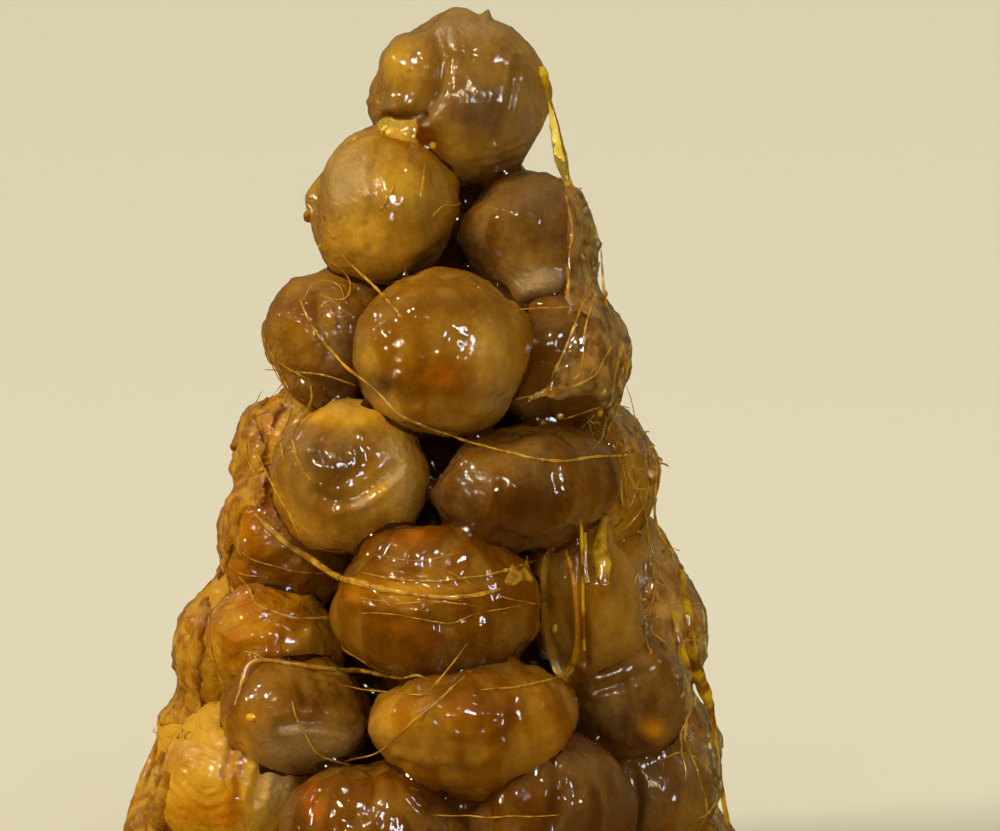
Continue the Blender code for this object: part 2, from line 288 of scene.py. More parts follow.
# Folds, hollows and bulges of the choux on the front.
FORMS = {
    "puff_1_1": (
        swell(-38.5, 99, 5, 7, -2.2), swell(-22.5, 116.5, 6, 5, -2.6), swell(-34, 84, 6, 5, -1.5),
        swell(0, 119, 9, 3, -1.2), swell(-3.8, 119.7, 1.3, 2.2, 3),
        crease(((-18.4, 112.3), (-16.9, 105.8), (-17.5, 99.9), (-19.8, 94.6), (-22.2, 89.8)), 2.3, 2.4,
            lip=0.3),
        swell(-27.8, 101.1, 8, 10, 1.8), swell(-20.1, 96.9, 2.2, 3, -1.6),
        swell(-29.6, 91.3, 3.5, 2.2, 1.3), swell(-31.4, 105.2, 2.6, 2.6, 0.8),
        swell(-25.5, 108.2, 2.6, 2, 0.7), swell(-33.4, 98.1, 2.2, 3.5, 0.8),
        swell(-39.7, 93.1, 1.6, 1.8, 3.4),
        crease(((-34.3, 87.8), (-29.6, 88.4), (-23.4, 88.4)), 1.5, 1.8, lip=0.2),
        swell(-6.5, 93.4, 9, 13, 2),
        crease(((4.7, 104.6), (3.8, 98.1), (1.8, 91), (-2.1, 82.1)), 1.1, 0.8, lip=0.9),
        rings(-10.1, 95.8, 15, 25, 2.3, 0.22, side=(1, -0.3)),
        ridge(((-10.1, 109.4), (-2.4, 107), (4.1, 104)), 1.3, 0.7),
    ),
    "puff_2_1": (
        swell(-58, 65, 6, 14, -4.4), swell(-29.6, 61.4, 10, 10, 1.2),
        crease(((-35.5, 78.6), (-37.3, 72.1), (-36.7, 65), (-39.7, 56.1), (-37.9, 50.2)), 1.6, 0.8),
        swell(-16, 62.3, 4, 5, 0.7), ridge(((-21.3, 78.6), (-14.2, 75.6), (-8.9, 70.9)), 2, 0.7),
        swell(-45.9, 56.4, 5, 4, -0.7),
    ),
    "puff_2_2": (
        crease(((8.9, 33.6), (13.3, 35.1), (18.4, 35.1)), 1.6, 2.6, lip=0.1),
        ridge(((3.8, 34.2), (7.4, 37.4), (13.3, 39.8), (18.4, 41)), 1.9, 1.6),
        crease(((0, 37.1), (4.1, 40.4), (10.1, 43.1), (15.4, 44.3)), 1.8, 0.3), swell(5.9, 56.7, 9, 8, 0.9),
        swell(-2.1, 45.4, 5, 6, 0.5),
    ),
    "puff_3_1": (
        swell(-59.2, 23.8, 5, 6, 1.2), swell(-48.5, 19.4, 6, 9, 0.8),
        crease(((-53.9, 34.2), (-52.7, 26.8), (-50.3, 19.4)), 1.6, 0.8),
        crease(((-66.6, 12.9), (-59.2, 11.7), (-47.4, 9.9)), 2, 1.2),
    ),
    "puff_3_2": (
        swell(-33.2, 8.1, 2.4, 3.2, -1.8), swell(-30.8, 9.9, 1.8, 3, 1.4), swell(-17.8, 25.3, 7, 8, 0.8),
        swell(-5.3, 18.8, 6, 9, 0.8), crease(((-22.2, 25.9), (-20.7, 19.4), (-22.5, 12.3)), 1.5, 0.5),
        crease(((-25.2, 4), (-14.8, 5.8), (0, 5.2)), 1.8, 0.7), swell(-13.3, 34.2, 12, 3, 0.7),
        swell(-16.3, 12.9, 6, 5, 0.8),
    ),
    "puff_3_3": (
        swell(39, 27, 6, 9, -3.8), swell(13.3, 19.4, 5, 8, 0.8),
        crease(((8.9, 30.6), (17.8, 30), (26.6, 29.5)), 1.5, 0.8),
    ),
    "puff_4_1": (
        swell(-70.4, 1.6, 4, 7, 1), crease(((-74, -1.3), (-70.4, -7.3), (-69.3, -13.2)), 1.5, 0.8),
    ),
    "puff_4_2": (
        ridge(((-60.5, -6), (-56, 0.5), (-47, 4), (-37.5, 2.5), (-30.5, -4), (-28.5, -12)), 3.5, 0.2),
        crease(((-53.9, -22.6), (-49.4, -25.6), (-42.9, -24.4), (-36.1, -20), (-31.4, -15.5)), 1.6, 1.2,
            lip=0.5),
        ridge(((-46.8, -28), (-40.3, -25.9), (-34.3, -21.8)), 1.8, 0.9), swell(-27.8, -21.5, 4.5, 8, 1),
        swell(-53.3, -33.9, 6, 5, 0.7),
    ),
    "puff_4_3": (
        crease(((-17.8, -7.3), (-13, -13.8), (-7.7, -20.9), (-2.4, -25)), 2.2, 0.5, lip=0.2),
        crease(((-19.5, -25), (-12.4, -26.5), (-6.5, -32.1), (0, -35.7)), 2.0, 0.5, lip=0.2),
        swell(-11.2, -19.1, 4, 5, 1.1), swell(-15.4, -30.9, 5, 5, 0.9), swell(6.5, -21.5, 8, 8, 1.2),
        swell(23.7, -21.5, 7, 8, 1.2), crease(((15.4, -10.2), (14.8, -17.6), (16.6, -26.5)), 2, 0.8),
        crease(((0, -34.5), (8.9, -36.9), (20.7, -33.9)), 1.5, 1), swell(-3, -35.4, 4, 3, 0.7),
    ),
    "puff_4_4": (
        swell(48, -15, 6, 8, -3.4),
    ),
    "puff_5_1": (
        swell(-85, -34, 6, 14, -3.2), swell(-70.4, -36.9, 5, 6, 1), swell(-61.6, -45.1, 5, 4, 0.9),
        crease(((-77, -42.8), (-70.4, -45.7), (-62.2, -41.6)), 1.6, 0.9),
    ),
    "puff_5_2": (
        ridge(((-47.4, -47.8), (-37.9, -50.5), (-26.6, -53.4), (-17.8, -55.2), (-8.9, -54.6)), 2.4, 0.6),
        ridge(((-43.8, -54.6), (-37.9, -56.4), (-29.6, -57.9), (-20.7, -58.2)), 1.2, 0.6),
        ridge(((-38.5, -52.2), (-32, -55.8), (-24.3, -56.7), (-18.9, -55.2)), 0.9, 0.5),
        ridge(((-33.2, -45.7), (-23.7, -47.5), (-14.8, -46.9), (-6.5, -44.5)), 1.2, 0.6),
        crease(((-43.8, -58.2), (-34.3, -61.7), (-20.7, -62.3), (-5.9, -59.3), (8.9, -53.4)), 1.7, 0.45,
            lip=0.4),
        swell(-17.8, -70, 22, 8, 1.5), ridge(((-14.8, -63.8), (-9.5, -65.9), (-2.4, -66.2)), 0.9, 0.4),
        ridge(((0, -65.3), (5.9, -62.9)), 0.9, 0.4),
        ridge(((-45.9, -48.7), (-34, -51.7), (-17.8, -52.8), (-5.9, -51.7)), 2.2, 0.4),
        ridge(((-35.5, -55.2), (-26.6, -58.2), (-17.8, -55.8)), 1.2, 0.6), swell(-20.7, -39.2, 12, 5, 1),
        crease(((-45.9, -41.6), (-32.6, -42.8), (-17.8, -46.3), (0, -42.8)), 1.6, 0.5),
        swell(-7.1, -45.1, 4, 4, 0.8),
    ),
    "puff_5_3": (
        ridge(((30.2, -32.7), (31.4, -41.6), (30.2, -49.9)), 3.2, 1.6), swell(30.2, -49.9, 3.6, 2.2, 0.8),
        swell(37.9, -54.6, 6, 14, 0.8), crease(((34.9, -30.9), (34.3, -41.6), (33.2, -51.1)), 1.2, 0.7),
        crease(((25.2, -42.8), (24.9, -57.6), (25.2, -72.4)), 1.3, 1, lip=0.8),
    ),
    "puff_5_4": (
        swell(47.4, -42.8, 4, 5, 0.8), crease(((45.9, -48.7), (50.9, -49.9)), 1.2, 0.8),
    ),
    "puff_6_1": (
        swell(-87.3, -66.5, 4, 10, 0.9),
    ),
    "puff_6_2": (
        swell(-70.4, -56.4, 6, 4, 1), crease(((-77.6, -62.9), (-68.7, -61.1), (-59.2, -63.5)), 1.6, 1),
        swell(-59.2, -58.2, 6, 5, 0.8), swell(-74, -66.5, 5, 3, 0.9),
    ),
    "puff_6_3": (
        crease(((-64.5, -91.3), (-54.5, -90.7), (-43.8, -92.2)), 1.5, 1.1, lip=0.8),
        swell(-70.4, -84.2, 6, 6, 0.9), swell(-48.8, -84.2, 5, 5, 0.9),
        crease(((-59.2, -78.3), (-57.4, -84.2), (-59.2, -88.9)), 1.4, 0.6),
    ),
    "puff_6_4": (
        swell(-8.3, -87.8, 8, 6.5, 1.8),
        ridge(((-17.2, -91.9), (-12.4, -94), (-4.1, -94), (0.6, -91.3)), 0.8, 0.35),
        crease(((-18.9, -88.9), (-16, -95.5), (-6.5, -97.8), (2.4, -93.7), (4.1, -86)), 1.4, 0.9, lip=0.2),
        swell(-29.6, -90.1, 8, 7, 1.1), rings(4.7, -88.9, 10, 18, 2.3, 0.24, side=(1, 0)),
        ridge(((5.9, -90.7), (8.9, -88.4)), 0.9, 0.4),
        crease(((-29.6, -103.2), (-18.9, -105.5), (-5.9, -104.9), (5.9, -101.4)), 1.6, 0.8),
        crease(((-24.3, -81.3), (-22.5, -90.1), (-23.7, -98.4)), 1.5, 0.7),
    ),
    "puff_6_5": (
        swell(32, -84.8, 4.5, 5, 1.1), crease(((36.7, -79.5), (37.3, -86), (35.5, -93.1)), 1.3, 0.8),
        swell(42.9, -82.4, 5, 5, 0.9), swell(44.4, -92.8, 3.6, 3, 1.9),
        crease(((29, -81.3), (35.5, -79.5), (43.8, -75.9)), 1.2, 0.8),
    ),
    "puff_6_6": (
        swell(52.1, -90.1, 4, 8, 0.8),
    ),
    "puff_7_1": (
        swell(-100.6, -110.9, 4, 8, 1),
    ),
    "puff_7_2": (
        rings(-87, -107.3, 2, 13, 3.4, 0.3), swell(-87, -107.3, 3, 3, 1.1), swell(-84, -97, 4, 3.5, 1),
        crease(((-75.5, -86), (-77, -92), (-79, -99), (-81.4, -106.4)), 1.1, 0.9),
        swell(-92, -100, 3, 3, 0.9), crease(((-72.8, -96.6), (-70.4, -104.3), (-72.2, -113.8)), 1.6, 1.1),
        swell(-63.6, -110.9, 6, 7, 0.9), crease(((-84.4, -90.1), (-78.4, -94.6), (-74, -102)), 1.4, 0.6),
    ),
    "puff_7_3": (
        swell(-47.4, -110.9, 8, 6, 1.2), swell(-29.6, -113.8, 10, 6, 0.9),
        crease(((-37.9, -104.9), (-36.7, -111.4), (-38.5, -118.3)), 1.6, 0.7),
        swell(-59.2, -113.8, 4, 6, 0.9),
    ),
    "puff_7_4": (
        crease(((16.6, -104.3), (17.8, -112.3), (15.4, -121.2)), 1.8, 1), swell(26.6, -110.9, 7, 9, 0.9),
        swell(8.9, -113.8, 6, 7, 0.8), swell(0, -110.9, 5, 6, 0.7),
    ),
    "puff_7_5": (
        swell(45.9, -111.4, 4.6, 7.5, 1.8),
        crease(((39.1, -104.9), (41.4, -113.8), (39.7, -121.5)), 1.4, 0.8),
    ),
}

# How brown the crust of each is, how thick the caramel lies over it, and shine alone.
Finish = namedtuple("Finish", "bake glaze gloss", defaults=(0,))
PLAIN_FINISH = Finish(0.5, 0.45)
FINISHES = {
    "puff_1_1": Finish(0.64, 0.28, 0.1), "puff_2_1": Finish(0.5, 0.3, 0.1),
    "puff_2_2": Finish(0.84, 0.36, 0.06), "puff_3_1": Finish(0.6, 0.5, 0.3), "puff_3_2": Finish(0.56, 0.55),
    "puff_3_3": Finish(0.65, 0.55), "puff_4_1": Finish(0.2, 0.5, 0.4), "puff_4_2": Finish(0.42, 0.38),
    "puff_4_3": Finish(0.88, 0.5), "puff_5_1": Finish(0.5, 0.7, 0.3), "puff_5_2": Finish(0.7, 0.85),
    "puff_5_3": Finish(0.62, 0.5), "puff_6_1": Finish(0.2, 0.4, 0.4), "puff_6_2": Finish(0.15, 0.7, 0.3),
    "puff_6_3": Finish(0.58, 0.6), "puff_6_4": Finish(0.5, 0.8), "puff_6_5": Finish(0.9, 0.45),
    "puff_7_1": Finish(0.15, 0.4, 0.4), "puff_7_2": Finish(0.12, 0.25, 0.4), "puff_7_3": Finish(0.82, 0.8),
    "puff_7_4": Finish(1.0, 0.6), "puff_7_5": Finish(0.85, 0.5),
}

# Places on the front where the crust is bare and dull: right, up, how wide, how high, how bare.
BARE = (
    (-5.9, 115.3, 14, 5, 0.9), (8.3, 87.5, 5, 14, 0.6), (-6.5, 91.9, 8, 12, 0.25), (-44.4, 72.1, 7, 9, 1),
    (-48.8, 66.7, 4, 10, 0.5), (10.4, 63.8, 9, 5, 0.4), (13.3, 40.1, 6, 2.5, 0.8), (0, 4.6, 9, 5, 0.5),
    (-45.9, 3.4, 13, 2.6, 0.5), (-31, -14, 4, 9, 0.7), (-28.1, -23.5, 4, 8, 0.5), (-38.5, -26.5, 5, 2, 0.6),
    (41.4, -54.6, 3, 14, 0.6), (48.8, -39.8, 5, 6, 0.6), (31.4, -85.7, 5, 6, 0.25), (-55, -97, 17, 6.5, 1),
    (-67, -111, 6, 9, 1), (26, -104, 8, 4, 0.3), (44.4, -110.9, 8, 8, 0.3), (56.2, -96.1, 4, 12, 0.4),
    (-48.8, 17.9, 5, 6, 0.4), (8, 41, 8, 4, 0.7), (-3, 17, 5, 9, 0.4),
)

# Places on the front where caramel has gathered: right, up, how wide, how high, how much more.
POOLS = (
    (-29.6, 84.5, 8, 3.5, 1), (-20.7, 81.5, 5, 4, 0.8), (-16.3, 12, 9, 6, 0.9), (-14.8, 31.2, 12, 3, 0.4),
    (-26.6, -35.4, 12, 4, 0.5), (-8.9, -54.6, 16, 5, 0.5), (-69.6, -42.8, 8, 6, 0.7),
    (-66.6, -57.6, 10, 6, 0.7), (-72.5, -69.4, 8, 6, 0.6), (-73.4, -19.1, 6, 20, 0.7),
    (-8.3, -87.8, 10, 7, 0.7), (-59.2, -110.9, 5, 7, 0.8), (-32.6, -110.9, 12, 5, 0.5),
    (44.4, -92.5, 4, 3.5, 0.3), (30.2, -42.8, 3.5, 9, 0.3), (25.2, -60.5, 2, 14, 0.4),
    (-59.2, 31.2, 8, 4, 0.6), (5.9, -26.5, 14, 5, 0.5), (-56.2, -84.2, 14, 5, 0.5),
    (29.6, -19.1, 6, 8, 0.4), (5.9, -113.8, 8, 5, 0.5), (-78, -96, 2.5, 12, 0.7), (-89, -118, 12, 6, 0.8),
    (-79, -114, 2.5, 8, 0.7), (-95, -103, 4, 5, 0.5),
)

# Places on the front painted pale and golden: paler crust in part, and painted light in part, where light
# falls strongly on the left side and the top rims.
GOLDEN_AND_LIT = (
    (-45.9, 1, 14, 4, 1.4), (-36, -22, 7, 6, 0.5), (-88.8, -102, 14, 12, 1), (-74, -25, 8, 14, 0.9),
    (-70.4, 1.6, 5, 9, 0.9), (-29.6, 69.7, 8, 6, 0.6), (-31.1, 105.2, 7, 10, 0.45),
    (-38.5, 16.4, 3, 10, 0.5), (-17.8, 36.6, 12, 3, 0.5), (-29.6, -51.7, 18, 4.5, 1),
    (44.6, -92.4, 4, 3.2, 1.6), (-12, 79, 12, 5, 0.5), (-30, -72, 14, 4, 0.4), (-44.4, -54.6, 4, 9, 0.4),
    (-29.6, -90.1, 8, 7, 0.6), (-91.8, -69.4, 5, 14, 0.6), (-32.6, -113.8, 14, 5, 0.4),
    (11.8, -90.1, 6, 8, 0.4), (31.1, -36.9, 5, 6, 0.5), (37, -33.9, 4, 8, 0.4), (-77, -102, 5, 8, 0.5),
    (-33, 51, 14, 7, 0.6), (8, 43, 9, 6, 0.6), (-5, 17, 6, 10, 0.6),
)

# Places on the front with a painted orange glow, standing in for light that comes through the caramel.
PAINTED_GLOWS = (
    (-17.8, 11.7, 3.8, 3.4, 0.64), (-25.2, -36.9, 3, 2.2, 0.72), (-30.2, -39.2, 2.2, 1.5, 0.4),
    (-78.1, -54.6, 3, 2.2, 0.64), (-74, -58.2, 1.9, 3.8, 0.48), (-79.3, -45.7, 3, 2.2, 0.48),
    (-19.8, 79.8, 1.5, 1.2, 1), (-29.6, 83.9, 5.2, 2.2, 0.4), (-73.4, -89.5, 2.2, 1.5, 1),
    (-55.6, -113.8, 2.2, 4.5, 0.64), (-53.9, -117.4, 2.2, 3, 0.48), (-70.4, -7.3, 1.9, 4.5, 0.48),
    (-67.5, -2.8, 1.9, 6, 0.4), (-59.2, -33.3, 3.8, 1.5, 0.48), (-20.7, -66.5, 3.8, 2.2, 0.24),
    (-11.8, -87.8, 3.8, 3, 0.28), (-50.3, -70.9, 3.8, 1.5, 0.32), (-81.4, -119.7, 2.2, 3, 0.56),
    (-77, -66.5, 2.2, 3, 0.4), (-31.1, -62, 4.5, 1.5, 0.28), (45, -92.2, 4, 3, 0.16),
)

# Places on the front painted darker: browner crust in part, and painted shade in part.
BROWNED_AND_SHADED = (
    (-17.8, 35.4, 14, 5, 0.5), (8.9, 60.8, 7, 7, 0.4), (-6.5, 91.9, 8, 12, 0.8), (-53, -13, 15, 9, 0.9),
    (-44.4, 9, 14, 4, 1), (1.5, 72.7, 14, 5, 0.6), (-17.8, 49, 10, 8, 0.5), (-44.4, 22.3, 6, 8, 0.6),
    (16.3, 22.3, 10, 12, 0.6), (17.8, 4.6, 14, 6, 0.8), (11.8, -36.9, 22, 5, 0.8),
    (-17.8, -72.4, 22, 7, 0.5), (-50.3, -84.2, 12, 5, 0.6), (-47.4, -45.7, 6, 6, 0.7), (0, -25, 20, 5, 0.4),
    (35.5, -96.1, 12, 5, 0.6), (-17.8, -113.8, 10, 6, 0.8), (17.8, -81.3, 4, 6, 0.3),
)

# How high each kind of unevenness of a puff is and its size, and how fine its strands and wrinkles are.
BROAD_LUMP, BROAD_SIZE = 1.4, 15
GLAZE_LUMP, GLAZE_SIZE = 0.55, 7.5
FINE_LUMP, FINE_SIZE = 0.26, 3.2
DROPLET, DROPLET_SIZE = 0.34, 4.2
STRAND, STRAND_SIZE = 0.16, 4.5
WRINKLE, WRINKLE_SIZE = 0.22, 3.0
GLAZE_RUN, GLAZE_RUN_SIZE, GLAZE_RUN_STRETCH = 0.6, 7, 2.4
GLAZE_FILLET = 1.9
POOL_RISE = 0.5
NET_FINENESS = 2.6
WRINKLE_FINENESS = 2.5

# Where a puff counts as shown, as wet, as near another, as on the tower's left side, and as under a run.
SHOWN = (-0.25, 0.1)
WET = (0.06, 0.22)
CREVICE = (0.5, 9.0)
LEFT_SIDE = (0.5, 0.9)
UNDER_RUN = (-0.05, 0.4)

# What a place adds to the glaze, the painted shade in crevices and on undersides and the painted light on
# tops that it adds to how dark the crust is, the most glaze, and how much a bare place loses.
CREVICE_GLAZE, UNDERSIDE_GLAZE = 0.28, 0.05
CREVICE_PAINTED_SHADE, UNDERSIDE_PAINTED_SHADE, TOP_PAINTED_LIGHT = 0.22, 0.05, -0.2
MOST_GLAZE = 1.8
BARE_LOSS = 0.85

# How uneven the crust's bake, the painted glow and the beads are, and how wide their patches.
BAKE_PATCH, BAKE_PATCH_SIZE = 0.18, 17
GLOW_PATCH, GLOW_PATCH_SIZE = 0.6, 4
BEAD_PATCH, BEAD_PATCH_SIZE = 0.16, 9


def fine_skin(name):
    """A smooth fine mesh that passes through the corners of a puff's solid."""
    skin = merged(name)
    bmesh.ops.join_triangles(skin, faces=skin.faces[:], angle_face_threshold=math.pi,
                             angle_shape_threshold=math.pi)
    mesh = mesh_of(name, skin)
    obj = add_object("choux" + name[len("puff"):], mesh)
    corners = coords(mesh)
    finer = obj.modifiers.new("finer", "SUBSURF")
    finer.levels = 1
    for _ in range(FITTING_ROUNDS):
        # Subdivision draws the corners in, so the cage is pushed out until the smooth skin meets them.
        smooth = evaluated(obj)
        set_coords(mesh, coords(mesh) + corners - coords(smooth)[:len(corners)])
    finer.levels = SHOWN_LEVELS if name in FINISHES else PLAIN_LEVELS
    return settle(obj)


def tree_of(meshes):
    """A search tree over the faces of several meshes."""
    points, faces = [], []
    for mesh in meshes:
        first = len(points)
        points.extend(coords(mesh).tolist())
        faces.extend([first + i for i in face.vertices] for face in mesh.polygons)
    return BVHTree.FromPolygons(points, faces)


def nearest_field(objects, name, co):
    """The value of a field at the corner nearest to each point."""
    values = np.concatenate([field(obj.data, name) for obj in objects])
    places = np.concatenate([coords(obj.data) for obj in objects])
    tree = KDTree(len(places))
    for i, place in enumerate(places.tolist()):
        tree.insert(place, i)
    tree.balance()
    return values[[tree.find(place)[1] for place in co.tolist()]]


def neighbour_gap(obj, name):
    """Distance in millimetres from each vertex to the nearest of the other solids."""
    others = tree_of([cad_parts[other].data for other in PUFFS if other != name])
    return np.array([others.find_nearest(place)[3] for place in coords(obj.data).tolist()]) / MM


def patch(seen, places):
    """The sum of soft oval patches, each (right, up, wide, high, amount)."""
    return sum(amount * oval(seen, right, up, wide, high) for right, up, wide, high, amount in places)


def dress_puff(obj, name, gap):
    """Gives a puff its lumps and folds, and caramel that runs over it and gathers where it meets others."""
    number = PUFFS.index(name)
    co, out = coords(obj.data), coords(obj.data, "normal")
    top, under = np.clip(out[:, 2], 0, 1), np.clip(-out[:, 2], 0, 1)
    aside, behind = co[:, 0] - axis_foot.x, co[:, 1] - axis_foot.y
    left = smoothstep(*LEFT_SIDE, -aside / np.hypot(aside, behind))
    seen = as_seen(co)
    shown = smoothstep(*SHOWN, -(out @ np.array(toward)))
    crevice = 1 - smoothstep(*CREVICE, gap)

    # How thick the caramel lies, and where the skin is wet with it.
    finish = FINISHES.get(name, PLAIN_FINISH)
    bare = np.clip(patch(seen, BARE) * shown, 0, 1)
    gather = patch(seen, POOLS) * shown
    runs = lumps(co, GLAZE_RUN_SIZE, seed=3, stretch=GLAZE_RUN_STRETCH)
    runs = smoothstep(*UNDER_RUN, runs + 0.5 * finish.glaze - 0.2)
    glaze = finish.glaze * (0.5 + 0.8 * runs) + CREVICE_GLAZE * crevice + UNDERSIDE_GLAZE * under + gather
    glaze = np.clip(glaze, 0, MOST_GLAZE) * (1 - BARE_LOSS * bare)
    wet = smoothstep(*WET, glaze + finish.gloss) * (1 - bare)

    # How far the skin stands out from the plain puff.
    rise = BROAD_LUMP * lumps(co, BROAD_SIZE, seed=number) + GLAZE_LUMP * lumps(co, GLAZE_SIZE, seed=5)
    rise += FINE_LUMP * wet * lumps(co, FINE_SIZE, seed=8)
    rise += GLAZE_FILLET * crevice ** 2 + GLAZE_RUN * runs * (1 - bare) * (0.4 + finish.glaze)
    strands = np.clip(1 - NET_FINENESS * np.abs(lumps(co, STRAND_SIZE, seed=12, octaves=2)), 0, 1) ** 2
    rise += STRAND * wet * strands * (0.3 + left + np.clip(gather, 0, 1)) + POOL_RISE * gather
    rise += DROPLET * wet * droplets(co, DROPLET_SIZE, seed=2, share=0.2 + 0.6 * finish.glaze)
    wrinkles = 1 - WRINKLE_FINENESS * np.abs(lumps(co, WRINKLE_SIZE, seed=9, octaves=2))
    rise -= WRINKLE * (1 - wet) * wrinkles
    for form in FORMS.get(name, ()):
        rise += form(seen) * shown
    set_coords(obj.data, above_table(co + out * (rise * MM)[:, None]))

    # Darker and paler places: crust tone in part, and painted shade and painted light in part, all stored in
    # bake.
    shade = (patch(seen, BROWNED_AND_SHADED) - patch(seen, GOLDEN_AND_LIT)) * shown
    # Painted shade in crevices and on undersides, and painted light on tops.
    shade += CREVICE_PAINTED_SHADE * crevice + UNDERSIDE_PAINTED_SHADE * under + TOP_PAINTED_LIGHT * top
    # Painted glow: orange put into the colour where light would come through the caramel.
    painted_glow = patch(seen, PAINTED_GLOWS) * shown * (0.7 + GLOW_PATCH * lumps(co, GLOW_PATCH_SIZE, seed=15))
    mottle = BAKE_PATCH * lumps(co, BAKE_PATCH_SIZE, seed=number + 60)
    beads = 0.04 + 0.6 * left + BEAD_PATCH * lumps(co, BEAD_PATCH_SIZE, seed=31)
    for key, values in (
            ("crevice", crevice), ("glaze", glaze), ("wet", wet), ("painted_glow", np.clip(painted_glow, 0, 1)),
            ("bake", finish.bake + mottle + 0.6 * shade), ("beads", np.clip(wet * beads, 0, 1)),
            ("strands", np.clip(0.2 + left + 0.45 * gather, 0, 1))):
        set_field(obj.data, key, values)
    obj.data.shade_smooth()


def make_choux(material):
    puffs = [fine_skin(name) for name in PUFFS]
    for puff, name in zip(puffs, PUFFS):
        dress_puff(puff, name, neighbour_gap(puff, name))
        finish_piece(puff, material, node=name)
    return puffs


# ---------------------------------------------------------------- the caramel between the choux

# The size of its grid, rounds of smoothing, its lumps and patches, and how deep it lies in and out of gaps.
SET_VOXEL = 1.9
SET_ROUNDS = 26
SET_LUMP, SET_LUMP_SIZE = 0.4, 5
SET_PATCH_SIZE = 16
SET_DEPTH = 0.3
SET_CLEAR = 3.0


def make_set_caramel(puffs, material):
    """The caramel in every gap: the whole stack in one skin, smoothed until its clefts fill."""
    stack = bmesh.new()
    for part in [mesh_of("core", merged(CORE))] + [puff.data for puff in puffs]:
        stack.from_mesh(part)
    obj = add_object("set_caramel", mesh_of("set_caramel", stack))
    remesh = obj.modifiers.new("one skin", "REMESH")
    remesh.mode = "VOXEL"
    remesh.voxel_size = SET_VOXEL * MM
    soften = obj.modifiers.new("fill", "SMOOTH")
    soften.factor = 0.5
    soften.iterations = SET_ROUNDS
    settle(obj)
    co, out = coords(obj.data), coords(obj.data, "normal")
    clear = 1 - nearest_field(puffs, "crevice", co)
    rise = SET_LUMP * lumps(co, SET_LUMP_SIZE, seed=21, octaves=2) - SET_DEPTH - SET_CLEAR * clear
    co = above_table(co + out * (rise * MM)[:, None])
    set_coords(obj.data, co)
    set_field(obj.data, "warmth", 0.45 + 0.5 * lumps(co, SET_PATCH_SIZE, seed=31))
    obj.data.shade_smooth()
    return finish_piece(obj, material, node=CORE)


# ---------------------------------------------------------------- places on the tower

# How far apart the points along a thread are, and how far from the axis the lines in to it start.
STEP = 0.8
CLEAR = 400 * MM

# The tower's outer radius at its foot, and the height at which its sides would meet.
TOWER_REACH = 95
TOWER_PEAK = 330


def radius_at(height):
    return TOWER_REACH * (1 - height / TOWER_PEAK)


def from_round(bearing, height):
    """(start, direction) of a line in to the axis, at a bearing in degrees from the front and a height."""
    angle = math.radians(bearing)
    out = Vector((math.sin(angle), -math.cos(angle), 0))
    axis = axis_foot.lerp(axis_top, (height * MM - axis_foot.z) / (axis_top.z - axis_foot.z))
    return axis + out * CLEAR, -out


def along(points, step):
    """A smooth line through the points, with a point at every step."""
    points = np.asarray(points, float)
    padded = np.vstack((2 * points[0] - points[1], points, 2 * points[-1] - points[-2]))
    line = []
    for a, b, c, d in zip(padded, padded[1:], padded[2:], padded[3:]):
        count = max(2, int(np.linalg.norm(c - b) / step))
        for t in np.arange(count) / count:
            line.append(0.5 * (2 * b + (c - a) * t + (2 * a - 5 * b + 4 * c - d) * t**2
                               + (3 * b - a - 3 * c + d) * t**3))
    return np.array(line + [points[-1]])


def pull_taut(heights, rounds):
    """Heights over the tower of a thread laid at these and then pulled, so that it spans the dips."""
    low = heights.copy()
    for _ in range(rounds):
        middle = heights.copy()
        middle[1:-1] = (heights[:-2] + heights[2:]) / 2
        heights = np.maximum(low, middle)
    return heights


def lay(surface, lines, taut, lift):
    """Points where the (start, direction) lines meet the surface, spanning its dips, and lifted off it."""
    hits = [surface.ray_cast(start, direction)[3] for start, direction in lines]
    reach = np.array([np.nan if hit is None else -hit for hit in hits])
    held = ~np.isnan(reach)
    if held.sum() < 2:
        return None
    reach = np.interp(np.arange(len(reach)), np.flatnonzero(held), reach[held])
    reach = pull_taut(reach, taut) + lift * MM
    return [start + direction * -far for (start, direction), far in zip(lines, reach)]


def lay_round(surface, places, height, taut, lift):
    """Points of a thread laid round the tower through (bearing, height) places, at about this height."""
    degree = math.radians(radius_at(height))
    line = along([(bearing * degree, high) for bearing, high in places], STEP)
    return lay(surface, [from_round(far / degree, high) for far, high in line], taut, lift)


# ---------------------------------------------------------------- node trees

# How deep in colour a thread is.
THREAD_DEPTH = 0.35


class Value:
    """What a node puts out. Sums that are written with it make further nodes in the same tree."""

    def __init__(self, socket):
        self.socket = socket

    def maths(self, operation, *terms):
        return new(self.socket.id_data, "ShaderNodeMath", dict(enumerate(terms)), operation=operation)

    def __add__(self, other):
        return self.maths("ADD", self, other)

    def __sub__(self, other):
        return self.maths("SUBTRACT", self, other)

    def __rsub__(self, other):
        return self.maths("SUBTRACT", other, self)

    def __mul__(self, other):
        return self.maths("MULTIPLY", self, other)

    def __truediv__(self, other):
        return self.maths("DIVIDE", self, other)

    def __rtruediv__(self, other):
        return self.maths("DIVIDE", other, self)

    def __pow__(self, other):
        return self.maths("POWER", self, other)

    def __abs__(self):
        return self.maths("ABSOLUTE", self)

    def __lt__(self, other):
        return self.maths("LESS_THAN", self, other)

    def clamped(self):
        """The same, kept from 0 to 1."""
        self.socket.node.use_clamp = True
        return self


def feed(node, inputs):
    """Links each input that is given a Value, and sets the others."""
    for key, value in inputs.items():
        if isinstance(value, Value):
            node.id_data.links.new(value.socket, node.inputs[key])
        else:
            node.inputs[key].default_value = value
    return node


